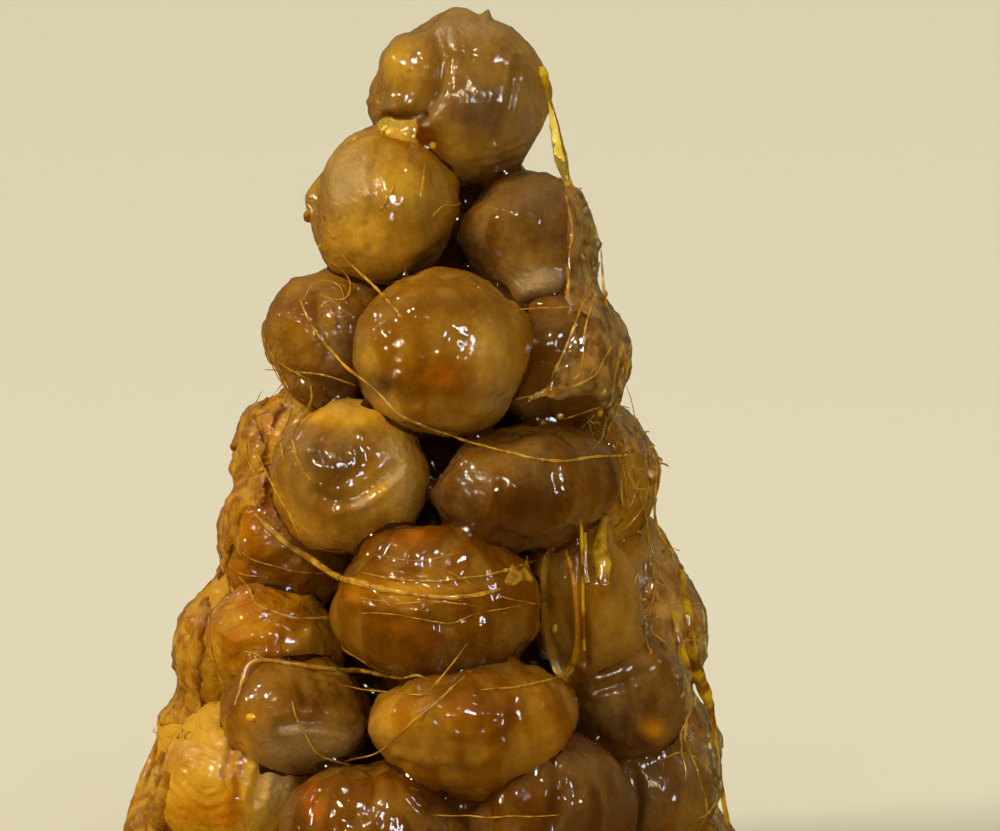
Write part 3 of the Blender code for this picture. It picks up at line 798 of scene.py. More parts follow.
def add(tree, kind, inputs=None, **settings):
    """Adds a node."""
    node = tree.nodes.new(kind)
    for key, value in settings.items():
        setattr(node, key, value)
    return feed(node, inputs or {})


def new(tree, kind, inputs=None, output=0, **settings):
    """Adds a node, for what it puts out."""
    return Value(add(tree, kind, inputs, **settings).outputs[output])


def new_group(name, kind, inputs, output):
    """A node group with its named inputs, each (type, value), and its one output, (name, type)."""
    tree = bpy.data.node_groups.new(name, kind)
    for socket, (sort, value) in inputs.items():
        asked = tree.interface.new_socket(socket, in_out="INPUT", socket_type="NodeSocket" + sort)
        if value is not None:
            asked.default_value = value
    tree.interface.new_socket(output[0], in_out="OUTPUT", socket_type="NodeSocket" + output[1])
    given = tree.nodes.new("NodeGroupInput")
    return tree, {socket: Value(given.outputs[socket]) for socket in inputs}


def put_out(tree, value):
    """Ends a node group with what it puts out."""
    feed(tree.nodes.new("NodeGroupOutput"), {0: value})
    return tree


def spun_tree(material):
    """Turns edges into round threads that swell and thin along their length, with a bead here and there."""
    tree, given = new_group("spun caramel", "GeometryNodeTree", {
        "Geometry": ("Geometry", None), "Sides": ("Int", 6), "Unevenness": ("Float", 0.5),
        "Swell length": ("Float", 0.004), "Bead spacing": ("Float", 0.006), "Bead share": ("Float", 0.3),
        "Bead size": ("Float", 2.2), "Seed": ("Int", 1)}, ("Geometry", "Geometry"))
    curve = new(tree, "GeometryNodeMeshToCurve", {"Mesh": given["Geometry"]})
    width = new(tree, "GeometryNodeInputNamedAttribute", {"Name": "width"}, data_type="FLOAT")
    place = new(tree, "GeometryNodeInputPosition")
    ripple = new(tree, "ShaderNodeTexNoise", {"Vector": place, "Scale": 1.0 / given["Swell length"]})
    swing = new(tree, "ShaderNodeMapRange", {
        "Value": ripple, "From Min": 0.25, "From Max": 0.75, "To Min": -1.0, "To Max": 1.0})
    radius = width * (swing * given["Unevenness"] + 1.0)
    sized = new(tree, "GeometryNodeSetCurveRadius", {"Curve": curve, "Radius": radius})
    ring = new(tree, "GeometryNodeCurvePrimitiveCircle", {"Resolution": given["Sides"], "Radius": 1.0})
    thread = add(tree, "GeometryNodeCurveToMesh", {
        "Curve": sized, "Profile Curve": ring, "Fill Caps": True, "Scale": radius})
    soft = new(tree, "GeometryNodeSetShadeSmooth", {"Geometry": Value(thread.outputs[0])})
    spots = add(tree, "GeometryNodeCurveToPoints", {"Curve": sized, "Length": given["Bead spacing"]},
                mode="LENGTH")
    chosen = new(tree, "FunctionNodeRandomValue", {"Probability": given["Bead share"], "Seed": given["Seed"]},
                 output=3, data_type="BOOLEAN")
    fatness = new(tree, "FunctionNodeRandomValue", {2: 0.6, 3: 1.2, "Seed": given["Seed"]},
                  output=1, data_type="FLOAT")
    fat = fatness * given["Bead size"] * radius
    ball = new(tree, "GeometryNodeMeshIcoSphere", {"Radius": 1.0, "Subdivisions": 2})
    beads = new(tree, "GeometryNodeInstanceOnPoints", {
        "Points": Value(spots.outputs["Points"]), "Selection": chosen, "Instance": ball,
        "Rotation": Value(spots.outputs["Rotation"]),
        "Scale": new(tree, "ShaderNodeCombineXYZ", {"X": fat, "Y": fat, "Z": fat * 1.7})})
    smooth_beads = new(tree, "GeometryNodeSetShadeSmooth", {
        "Geometry": new(tree, "GeometryNodeRealizeInstances", {"Geometry": beads})})
    both = add(tree, "GeometryNodeJoinGeometry")
    for part in (soft, smooth_beads):
        feed(both, {0: part})
    real = new(tree, "GeometryNodeRealizeInstances", {"Geometry": Value(both.outputs[0])})
    return put_out(tree, new(tree, "GeometryNodeSetMaterial", {"Geometry": real, "Material": material}))


def give(modifier, **values):
    """Sets a Geometry Nodes modifier's inputs by their names, with _ for a space."""
    sockets = {s.name: s.identifier for s in modifier.node_group.interface.items_tree
               if s.item_type == "SOCKET" and s.in_out == "INPUT"}
    for name, value in values.items():
        modifier[sockets[name.replace("_", " ")]] = value


def spin(name, threads, tree, material, **sizes):
    """One piece of spun threads, each (points, radii in millimetres)."""
    points, edges, widths = [], [], []
    for line, radii in threads:
        first = len(points)
        points.extend((x, y, max(z, radius * MM)) for (x, y, z), radius in zip(line, radii))
        edges.extend((first + i, first + i + 1) for i in range(len(line) - 1))
        widths.extend(radius * MM for radius in radii)
    mesh = bpy.data.meshes.new(name)
    mesh.from_pydata(points, edges, [])
    set_field(mesh, "width", widths)
    obj = add_object(name, mesh)
    modifier = obj.modifiers.new("spun", "NODES")
    modifier.node_group = tree
    give(modifier, **sizes)
    settle(obj)
    set_field(obj.data, "depth", THREAD_DEPTH)
    return finish_piece(obj, material)


# ---------------------------------------------------------------- threads laid on the front at given places

# Each: thickness, how far it is pulled taut, and the places that it passes.
FRONT_THREADS = (
    (0.8, 60, ((-47.4, 49.6), (-44.7, 45.4), (-39.1, 40.1), (-32, 32.7), (-28.7, 28.9))),
    (0.5, 60, ((-50.3, 45.4), (-46.8, 43.1), (-44.4, 39.5), (-45, 35.4), (-48.5, 34.2), (-52.7, 35.4))),
    (0.4, 60, ((-58.3, 34.2), (-55.6, 38.3), (-51.5, 40.1), (-47.4, 38.3), (-45.9, 34.2))),
    (0.8, 120, ((-59.2, 34.2), (-54.8, 25.3), (-45.9, 14.9), (-38.5, 9), (-29.6, 0.4), (-20.7, -3.7),
        (-13, -6.4), (-5.9, -8.7), (3, -10.8), (15.1, -13.5), (29, -12.3), (40.3, -11.4))),
    (0.5, 90, ((-69.6, 13.5), (-59.2, 12.9), (-50, 11.4), (-42.9, 9))),
    (0.4, 200, ((-70.4, 7.5), (-74, 0.1), (-75.5, -7.3), (-74, -14.7), (-68.7, -20.9))),
    (0.45, 200, ((-74, -7.3), (-71.6, -11.7), (-66.6, -22.1), (-62.2, -29.5), (-59.2, -36.3))),
    (1.8, 60, ((-72.5, -29), (-67.5, -33.9), (-62.2, -38.3), (-54.8, -43.4), (-47.4, -47.8), (-37.9, -50.5),
        (-29, -52.2))),
    (1.2, 40, ((-38, -50.6), (-29, -52.2), (-18, -53.6), (-8, -53.2), (0, -51.5))),
    (0.6, 20, ((-41.4, -46.3), (-29.6, -48.7), (-14.8, -48.7), (0, -46.3), (10.4, -42.8))),
    (0.25, 20, ((-45, -53), (-32, -55.5), (-18, -55), (-7, -56.5))),
    (0.3, 20, ((-42, -58.5), (-30, -59), (-16, -61.5), (-6, -58.5), (6, -56))),
    (0.25, 20, ((-38, -41), (-24, -43), (-12, -40.5))),
    (0.3, 60, ((-16, -46), (-4, -52), (8, -55.5), (14, -56))),
    (1.35, 70, ((-78.4, -85.7), (-77, -81.3), (-74.9, -74.7), (-70.4, -72.4), (-62.2, -73.6), (-50.3, -75),
        (-38.5, -75.9), (-29, -78))),
    (0.6, 60, ((-75.8, -70), (-72.8, -70.6), (-69.9, -72.4))),
    (0.7, 60, ((-29, -78), (-24.3, -77.1), (-20.7, -78.3))),
    (0.4, 90, ((-47.4, -79.8), (-34, -81.8), (-20.7, -82.7))),
    (0.4, 120, ((-10.1, -67.9), (-13.3, -72.4), (-20.7, -81.3))),
    (0.5, 120, ((-10.4, -77.1), (-20.1, -86), (-29.6, -94), (-36.1, -99.6), (-45.9, -102.6))),
    (0.6, 60, ((-61.6, -84.2), (-60.4, -88.9), (-57.4, -94.6), (-54.5, -99.6), (-50.3, -102),
        (-44.4, -103.5))),
    (0.5, 90, ((-5.9, -81.3), (5.9, -80.1), (17.8, -77.4))),
    (0.4, 120, ((5, 31.2), (11.8, 31.8), (17.8, 32.1), (23.7, 32.4))),
    (0.35, 150, ((-20.1, -118.3), (0, -118.8), (17.8, -118.3))),
    (0.4, 20, ((-21.9, 75.6), (-22.5, 72.1), (-23.1, 67.3), (-23.7, 63.8))),
    (0.45, 20, ((-31.1, 68.8), (-32.6, 65.3), (-35.5, 60.8))),
    (0.45, 20, ((-20.1, 58.8), (-16.6, 62), (-13, 62.3), (-11.2, 63.8))),
    (0.7, 60, ((19.5, 65), (20.7, 59.3), (21.3, 53.4), (20.4, 47.5), (20.4, 41.6), (20.1, 35.7),
        (20.7, 31.8), (22.2, 30.9), (24, 33.3), (25.8, 37.1), (27.2, 41.6), (28.7, 45.4))),
    (0.85, 60, ((29.6, 45.4), (28.4, 41.6), (26.6, 37.1), (23.7, 31.2), (22.2, 26.8), (19.8, 20.9),
        (17.8, 16.4), (15.7, 12), (15.1, 6.1))),
    (0.7, 60, ((28.7, 38.6), (26.6, 31.2), (25.2, 25.3), (24.6, 19.4), (23.7, 12.9), (22.2, 11.1))),
    (0.8, 60, ((29.9, 49), (30.5, 40.1), (31.1, 34.2), (33.2, 26.8), (35.5, 22.3), (36.1, 16.4),
        (36.7, 10.5), (35.5, 4.6), (33.2, -1.3), (31.1, -7.3))),
    (0.75, 60, ((33.4, 20.9), (30.5, 16.4), (28.1, 12), (22.2, 9), (16.3, 7.5), (10.4, 6.1), (4.4, 4.6))),
    (0.75, 60, ((36.1, 19.4), (37.9, 15.8), (36.4, 9), (35.2, 4.6), (32, 1), (30.2, -6.4), (27.2, -10.2))),
    (0.4, 60, ((33.7, 1.6), (35.2, -4.3), (34, -10.2))),
    (0.35, 60, ((37.3, 9), (38.8, 4.6), (40.3, -2.2), (41.7, -10.2))),
    (0.6, 60, ((37.3, -15.2), (39.1, -19.7), (41.1, -23.5), (42.9, -28), (43.8, -33.9))),
    (0.5, 60, ((41.1, -16.4), (41.7, -24.4), (43.2, -30.9), (44.1, -36.9))),
    (0.4, 60, ((17.8, -1.3), (25.2, 1), (32.6, 3.1), (38.5, 2.2))),
    (0.45, 40, ((43.8, -36.9), (45, -45.7), (45.6, -51.7), (44.4, -58.2), (42.9, -64.1), (44.4, -70))),
    (0.5, 40, ((45.9, -49.3), (48.5, -50.2), (51.8, -48.7), (52.1, -43.4), (54.5, -45.7))),
    (0.45, 60, ((-93.2, -81.3), (-95.9, -84.2), (-96.8, -87.8), (-95.3, -90.7), (-92.9, -90.7))),
    (0.4, 30, ((47.4, -102), (53.3, -99.6), (59.2, -102), (62.8, -106.4))),
)


# Over what share of its length a thread thins at each end, and to what share of its thickness.
TAPER = 0.12
TIP = 0.45

# How far a thread sways and how fast, how far it is lifted for its thickness, and how thick a strand is.
SWAY, SWAY_PACE = 0.4, 0.12
LIFT = 0.3
STRAND_FROM = 1


def taper(count, thick):
    """Radii that thin towards both ends of a thread."""
    place = np.linspace(0, 1, count)
    rim = np.clip(np.minimum(place, 1 - place) / TAPER, 0, 1)
    return thick / 2 * (TIP + (1 - TIP) * rim)


def make_front_threads(surface, tree, material):
    draw = random.Random(5)
    threads, strands = [], []
    for thick, taut, places in FRONT_THREADS:
        line = along(places, STEP)
        phase = draw.uniform(0, 100)
        line[:, 1] += [SWAY * noise.noise((i * SWAY_PACE, phase, 0)) for i in range(len(line))]
        points = lay(surface, [from_front(*place) for place in line], taut, thick * LIFT)
        if points:
            (strands if thick > STRAND_FROM else threads).append((points, taper(len(points), thick)))
    spin("front_strands", strands, tree, material, Sides=10, Unevenness=0.25, Bead_share=0.0, Seed=2)
    spin("front_threads", threads, tree, material, Sides=8, Bead_share=0.22, Bead_size=1.9, Seed=3)


# ---------------------------------------------------------------- fine threads round the sides and back

# Threads wound round the tower: how many, how far round and up each goes, where it bends, and its sizes.
WRAPS = 30
WRAP_SWEEP = (20, 60)
WRAP_CLIMB = (-26, 12)
WRAP_BEND, WRAP_STRAY = 9, 2.5
WRAP_SIZES = (0.22, 0.3, 0.3, 0.42, 0.6)
WRAP_TAUT = (30, 90, 160)

# Threads that have run down: how far, where they bend, how far in degrees they drift, and their sizes.
FLOW_FALL = (8, 34)
FLOW_BEND, FLOW_STRAY = 3, 0.5
FLOW_DRIFT, FLOW_ACROSS, ACROSS_SHARE = 3, 14, 0.3
FLOW_SIZES = (0.3, 0.4, 0.5, 0.7)

# Curly hairs: how many steps each has, how long a step is, how much it turns and falls, and its sizes.
HAIR_STEPS, HAIR_STEP = (6, 14), 0.6
HAIR_STRAY = 0.6
HAIR_TURN = (0.2, 0.75)
HAIR_FALL = Vector((0, 0, -0.04))
HAIR_SIZES = (0.4, 0.55, 0.8)


def make_wraps(surface, tree, material):
    """Long fine threads wound round the tower."""
    draw = random.Random(17)
    threads = []
    for _ in range(WRAPS):
        height = draw.uniform(12, 235)
        bearing = draw.uniform(80, 280)
        sweep = draw.uniform(*WRAP_SWEEP) * draw.choice((-1, 1))
        climb = draw.uniform(*WRAP_CLIMB)
        count = max(6, int(abs(math.radians(sweep)) * radius_at(height) / WRAP_BEND))
        places = [(bearing + sweep * t / count, height + climb * t / count + WRAP_STRAY * draw.uniform(-1, 1))
                  for t in range(count + 1)]
        thick = draw.choice(WRAP_SIZES)
        points = lay_round(surface, places, height, draw.choice(WRAP_TAUT), thick * LIFT)
        if points:
            threads.append((points, taper(len(points), thick)))
    spin("wound_threads", threads, tree, material, Sides=6, Bead_share=0.15, Bead_size=1.8, Seed=4)


def make_flows(name, surface, tree, material, bearings, heights, count, seed):
    """Fine beaded threads of caramel that have run down one side, and a few that were drawn across it."""
    draw = random.Random(seed)
    threads = []
    for _ in range(count):
        bearing, height = draw.uniform(*bearings), draw.uniform(*heights)
        fall = draw.uniform(*FLOW_FALL)
        drift = draw.gauss(0, FLOW_ACROSS if draw.random() < ACROSS_SHARE else FLOW_DRIFT)
        steps = max(4, int(fall / FLOW_BEND))
        places = [(bearing + drift * t / steps + draw.gauss(0, FLOW_STRAY), height - fall * t / steps)
                  for t in range(steps + 1)]
        thick = draw.choice(FLOW_SIZES)
        points = lay_round(surface, places, height, 40, thick * LIFT / 2)
        if points:
            threads.append((points, taper(len(points), thick)))
    spin(name, threads, tree, material, Sides=6, Unevenness=0.6, Bead_share=0.45, Bead_spacing=0.0035,
         Bead_size=1.7, Seed=seed)


def make_frizz(name, surface, tree, material, bearings, heights, count, seed):
    """Short curly hairs of caramel that stand off one side."""
    draw = random.Random(seed)
    threads = []
    for _ in range(count):
        start, direction = from_round(draw.uniform(*bearings), draw.uniform(*heights))
        place, normal, _, _ = surface.ray_cast(start, direction)
        if place is None:
            continue
        stray = Vector([draw.gauss(0, HAIR_STRAY) for _ in range(3)])
        heading = (normal * 0.5 + stray + Vector((0, 0, -0.5))).normalized()
        turn = Vector([draw.gauss(0, 1) for _ in range(3)]).normalized() * draw.uniform(*HAIR_TURN)
        points = [place - normal * 0.2 * MM]
        for _ in range(draw.randrange(*HAIR_STEPS)):
            heading = (heading + turn.cross(heading) + HAIR_FALL).normalized()
            points.append(points[-1] + heading * HAIR_STEP * MM)
        threads.append((points, taper(len(points), draw.choice(HAIR_SIZES))))
    spin(name, threads, tree, material, Sides=5, Bead_share=0.25, Bead_spacing=0.003, Bead_size=1.9,
         Seed=seed)


# ---------------------------------------------------------------- sheets of caramel that span the puffs

# The size of a sheet's grid, how far its rim sinks and over what width, and its streaks, beads and patches.
WEB_CELL = 0.7
WEB_SINK, WEB_RIM = 1.0, 2.6
WEB_CREST = 0.35
WEB_BEAD, WEB_BEAD_SIZE = 0.7, 3.4
WEB_PATCH, WEB_PATCH_SIZE = 0.7, 5

# How far the rim is kept from the edge of the grid, and how deep and wide a sheet is torn, holed and frayed.
WEB_INSET = 9.0
WEB_TEAR, WEB_TEAR_SIZE, WEB_HOLE_SIZE, WEB_FRAY_SIZE = 6, 14, 9, 3.0
WEB_STRETCH = 1.6

# How far round a radian is among the fine streaks that fan out, and how wide and long they are.
WEB_FAN = 90
WEB_STREAK = (1.1, 9)

# Each sheet: bearings, heights, rounds of pulling taut, thickness, how ragged its edge is, the place that its
# fine streaks fan out from, its edge as seen, the thicker streaks in it, each (path, width, extra thickness),
# and how free of holes it is.
Web = namedtuple("Web", "bearings heights taut thick ragged fan edge streaks whole", defaults=(1,))
WEBS = {
    "right_web_top": Web((22, 112), (166, 250), 320, 0.16, 1.0, (21.3, 140.7), (
        (16.6, 76.2), (26.6, 74.1), (29.6, 63.8), (34.3, 51.9), (36.7, 40.1), (39.1, 28.9), (31.4, 27.7),
        (26.6, 28.9), (23.1, 30), (21.3, 28.9), (18.9, 33.3), (18.9, 47.5), (19.5, 59.3), (18.1, 66.7)), (
        (((19.5, 64.4), (20.7, 59.3), (21.3, 53.4), (20.4, 47.5), (20.4, 41.6), (20.1, 35.7), (21.3, 31.2)),
            0.7, 0.9),
        (((22.2, 30.9), (24, 33.3), (25.8, 37.1), (27.2, 41.6), (28.7, 45.4)), 0.8, 0.8),
        (((22.2, 69.7), (24.6, 62.3), (27.2, 54.9), (29.6, 47.5)), 0.7, 0.6),
        (((29.6, 50.5), (26, 51.4), (23.7, 54.3), (23.1, 59.3)), 0.6, 0.5),
    )),
    "right_web": Web((18, 112), (136, 208), 320, 0.2, 1.4, (37, 53.4), (
        (27.2, 43.7), (34.9, 45.4), (39.7, 28.9), (41.4, 20.9), (46.2, 4.6), (48.5, -7.3), (45.9, -16.1),
        (37.3, -11.4), (33.2, -1.3), (29.6, 3.1), (26.6, 5.2), (19.2, 4), (13.3, 4.6), (4.4, 2.2),
        (3.3, 5.8), (13.3, 8.7), (15.4, 13.5), (18.4, 20), (22.5, 28.9), (24.9, 34.2)), (
        (((29.6, 43.7), (26.6, 37.1), (23.7, 31.2), (22.2, 26.8), (19.8, 20.9), (17.8, 16.4), (15.7, 12),
            (14.5, 7)), 0.9, 0.8),
        (((28.7, 38.6), (26.6, 31.2), (25.2, 25.3), (24.6, 19.4), (23.7, 12.9)), 0.6, 0.6),
        (((30.5, 45.4), (31.1, 34.2), (33.2, 26.8), (35.5, 20.9), (36.1, 13.5), (34.9, 4.6)), 0.7, 0.7),
        (((33.4, 20.9), (30.5, 16.4), (26.6, 11.7), (22.2, 9), (16.3, 7.5), (8.9, 5.8)), 0.8, 0.5),
        (((36.7, 19.4), (33.2, 12.9), (29.6, 8.1), (26, 5.8)), 0.7, 0.5),
    )),
    "right_skirt": Web((44, 112), (16, 132), 240, 0.2, 1.6, (29.6, 63.8), (
        (41.4, -24.1), (47.4, -26.5), (56.2, -36.9), (60.7, -51.7), (66.6, -69.4), (71, -90.1),
        (74, -107.9), (77, -125.7), (63.9, -125.7), (61.6, -113.8), (58.3, -102.6), (55.6, -93.1),
        (52.7, -84.2), (50.3, -75.3), (47.4, -66.5), (45.9, -58.2), (44.4, -65.3), (42.6, -64.1),
        (41.4, -54.6), (41.7, -42.8), (42.9, -33.9)), (
        (((42.9, -38.3), (45, -45.7), (45.9, -52.2), (44.7, -58.2), (43.2, -64.4)), 0.7, 0.7),
        (((45.9, -42.8), (50.9, -41.6), (52.4, -47.2), (47.4, -52.2)), 0.6, 0.5),
        (((47.4, -66.5), (50.9, -73), (53.3, -81.3), (55.6, -90.1), (58.3, -97.5)), 0.9, 0.6),
        (((57.4, -84.2), (60.7, -93.1), (63.3, -102), (65.7, -113.8)), 0.9, 0.8),
    )),
    "front_shard": Web((-22, 42), (106, 146), 60, 0.5, 0.2, (6, -60), (
        (0, -50.5), (2.5, -44.5), (4, -42), (5.6, -45.6), (8.6, -40.8), (9.2, -45.5), (11.5, -51.5),
        (7, -49.8), (3.5, -52)), ()),
    "left_coat": Web((-122, -50), (106, 182), 160, 0.8, 0.8, (-59.2, 78.6), (
        (-70.4, 14.7), (-63.9, 13.5), (-62.8, 7), (-65.1, 1), (-66.3, -4.3), (-68.7, -9), (-70.4, -12),
        (-68.7, -16.1), (-65.1, -24.4), (-63.9, -33.9), (-69.3, -38.6), (-75.5, -41.6), (-79.3, -46.3),
        (-84.1, -52.2), (-88.8, -55.8), (-97.7, -55.8), (-91.8, -42.8), (-87.3, -33.9), (-86.4, -13.2),
        (-82.9, -4.3), (-77, 6.1)), (
        (((-64.8, 4), (-66.6, -1.3), (-68.1, -6.1), (-69, -9.6)), 1.0, 1.2),
        (((-71.6, 8.1), (-73.7, 2.2), (-75.5, -4.3), (-78.1, -10.2), (-79.3, -16.1)), 1.0, 1.2),
        (((-73.4, -7.3), (-72.2, -12.6), (-68.7, -18.5)), 0.8, 0.8),
        (((-78.1, -16.1), (-77, -22.1), (-77.6, -28), (-78.1, -33.9), (-79.3, -39.8)), 1.2, 1.0),
        (((-73.4, -18.5), (-72.2, -25), (-70.4, -29.5), (-68.7, -33.9)), 1.1, 1.0),
        (((-80.5, -44.5), (-83.5, -48.7), (-87, -54.6)), 1.2, 1.0),
    ), 0.4),
    "left_skirt": Web((-120, -66), (60, 122), 140, 0.5, 0.9, (-79.9, -1.3), (
        (-90, -53.4), (-84.7, -52.2), (-84.7, -60.5), (-87, -66.5), (-87.6, -73), (-87, -81.3),
        (-87.6, -88.9), (-91.8, -94.6), (-95.9, -97.5), (-103.6, -96.1), (-103.6, -81.3), (-100.6, -66.5),
        (-95.9, -56.1)), (
        (((-87, -55.8), (-88.8, -66.5), (-90.6, -75.3), (-91.2, -84.2), (-91.8, -91.3)), 1.2, 0.8),
        (((-91.2, -60.5), (-92.9, -69.4), (-93.5, -81.3), (-92.9, -88.9)), 1.2, 0.8),
    ), 0.5),
    "crown_pool": Web((-90, 0), (228, 266), 260, 0.2, 0.5, (-28, 100), (
        (-38.5, 86.9), (-34.3, 89.8), (-29.6, 88.1), (-25.2, 88.7), (-20.1, 88.1), (-17.2, 85.1),
        (-18.4, 79.8), (-21.3, 78), (-24.9, 79.5), (-28.4, 80.4), (-32.6, 81.3), (-37.3, 83)), ()),
}


def inside(seen, edge):
    """Distance in from a closed edge, under 0 outside it."""
    crossed = np.zeros(len(seen[0]), bool)
    for (x0, y0), (x1, y1) in zip(edge, edge[1:] + edge[:1]):
        if y0 != y1:
            beside = seen[0] < x0 + (seen[1] - y0) * (x1 - x0) / (y1 - y0)
            crossed ^= ((y0 > seen[1]) != (y1 > seen[1])) & beside
    return to_path(seen, edge + edge[:1]) * np.where(crossed, 1, -1)


def drawn_tight(rests, rounds):
    """How far in a sheet lies that rests on the puffs this far in and is drawn tight over the dips."""
    sheet = rests.copy()
    for _ in range(rounds):
        sheet[1:-1, 1:-1] = (sheet[:-2, 1:-1] + sheet[2:, 1:-1] + sheet[1:-1, :-2] + sheet[1:-1, 2:]) / 4
        sheet = np.minimum(rests, sheet)
    return sheet


def within_web(web, co, seen, up, across, seed):
    """Distance in from a sheet's ragged edge and from its holes."""
    rows, columns = (np.minimum(np.arange(n), np.arange(n)[::-1]) * WEB_CELL for n in (up, across))
    rim = np.minimum(rows[:, None], columns).ravel()
    torn = lumps(co, WEB_TEAR_SIZE, seed + 7, octaves=2, stretch=WEB_STRETCH)
    within = np.minimum(rim - WEB_INSET + WEB_TEAR * torn, inside(seen, web.edge))
    within = within + web.ragged * lumps(co, WEB_FRAY_SIZE, seed + 1, octaves=2, stretch=WEB_STRETCH)
    whole = lumps(co, WEB_HOLE_SIZE, seed + 6, octaves=2, stretch=1.5) + web.whole
    return np.minimum(within, WEB_TEAR * whole)


def web_depth(web, co, seen, within, seed):
    """How thick a sheet is: uneven, streaked from one place, beaded, and thin at its edge."""
    spread = np.arctan2(seen[0] - web.fan[0], web.fan[1] - seen[1]) * WEB_FAN
    far = np.hypot(seen[0] - web.fan[0], seen[1] - web.fan[1])
    wide, long = WEB_STREAK
    fine = soft_noise(np.stack([spread / wide, far / long, co[:, 1] / (long * MM)], axis=1), seed + 2)
    crests = np.clip(1 - 3 * np.abs(fine), 0, 1) ** 2
    middle = smoothstep(0, 2, within)
    depth = web.thick * (1 + WEB_PATCH * lumps(co, WEB_PATCH_SIZE, seed + 3, octaves=2))
    depth += WEB_CREST * crests * middle
    depth += WEB_BEAD * web.thick * droplets(co, WEB_BEAD_SIZE, seed + 4, share=0.4) * middle
    for path, wide, extra in web.streaks:
        depth += extra * bell(to_path(seen, path) / wide)
    return depth * (0.3 + 0.7 * smoothstep(0, 1.6, within))


def thicken(obj):
    """Gives a sheet the thickness that its depth says."""
    depth = field(obj.data, "depth")
    most = depth.max()
    group = obj.vertex_groups.new(name="thickness")
    for i, share in enumerate((depth / most).tolist()):
        group.add([i], share, "REPLACE")
    wall = obj.modifiers.new("thickness", "SOLIDIFY")
    wall.thickness = most * MM
    wall.offset = 1
    wall.vertex_group = group.name
    return settle(obj)


def make_web(name, surface, material, web, seed):
    """A sheet of caramel that clings to the puffs and is drawn tight between them."""
    low, high = web.heights
    sweep = math.radians(web.bearings[1] - web.bearings[0])
    across = int(sweep * radius_at((low + high) / 2) / WEB_CELL)
    up = int((high - low) / WEB_CELL)
    lines = [from_round(bearing, low + j * WEB_CELL) for j in range(up)
             for bearing in np.linspace(*web.bearings, across)]
    hits = [surface.ray_cast(*line)[3] for line in lines]
    rests = np.array([CLEAR if hit is None else hit for hit in hits]).reshape(up, across)
    reach = drawn_tight(rests, web.taut).ravel() - 0.1 * MM
    starts, ways = (np.array([tuple(line[part]) for line in lines]) for part in (0, 1))
    co = starts + ways * reach[:, None]
    seen = as_seen(co)
    within = within_web(web, co, seen, up, across, seed)
    co = above_table(co + ways * (WEB_SINK * MM * (1 - smoothstep(0, WEB_RIM, within)))[:, None])
    cell = np.arange(up * across).reshape(up, across)
    faces = np.stack([cell[:-1, :-1], cell[:-1, 1:], cell[1:, 1:], cell[1:, :-1]], axis=-1).reshape(-1, 4)
    faces = faces[(within[faces] > 0).all(axis=1)]
    mesh = bpy.data.meshes.new(name)
    mesh.from_pydata(co.tolist(), [], faces.tolist())
    set_field(mesh, "depth", web_depth(web, co, seen, within, seed))
    sheet = bmesh.new()
    sheet.from_mesh(mesh)
    bmesh.ops.delete(sheet, geom=[v for v in sheet.verts if not v.link_faces], context="VERTS")
    for _ in range(4):
        rim = [v for v in sheet.verts if v.is_boundary]
        bmesh.ops.smooth_vert(sheet, verts=rim, factor=0.5, use_axis_x=True, use_axis_y=True, use_axis_z=True)
    sheet.to_mesh(mesh)
    sheet.free()
    obj = thicken(add_object(name, mesh))
    obj.data.shade_smooth()
    return finish_piece(obj, material)


# ---------------------------------------------------------------- drips and runs

# How far apart a run's points are, how tight it is drawn, how far off the puffs it lies, and how deep it is.
RUN_STEP = STEP * 0.7
RUN_TAUT = 120
RUN_LIFT = 0.2
RUN_DEPTH = 0.5

# How uneven a drop is, how deep it is for its width, and how far it is lifted for its radius.
DROP_LUMP, DROP_LUMPS = 0.18, 1.3
DROP_DEEP = 0.7
DROP_LIFT = 0.2

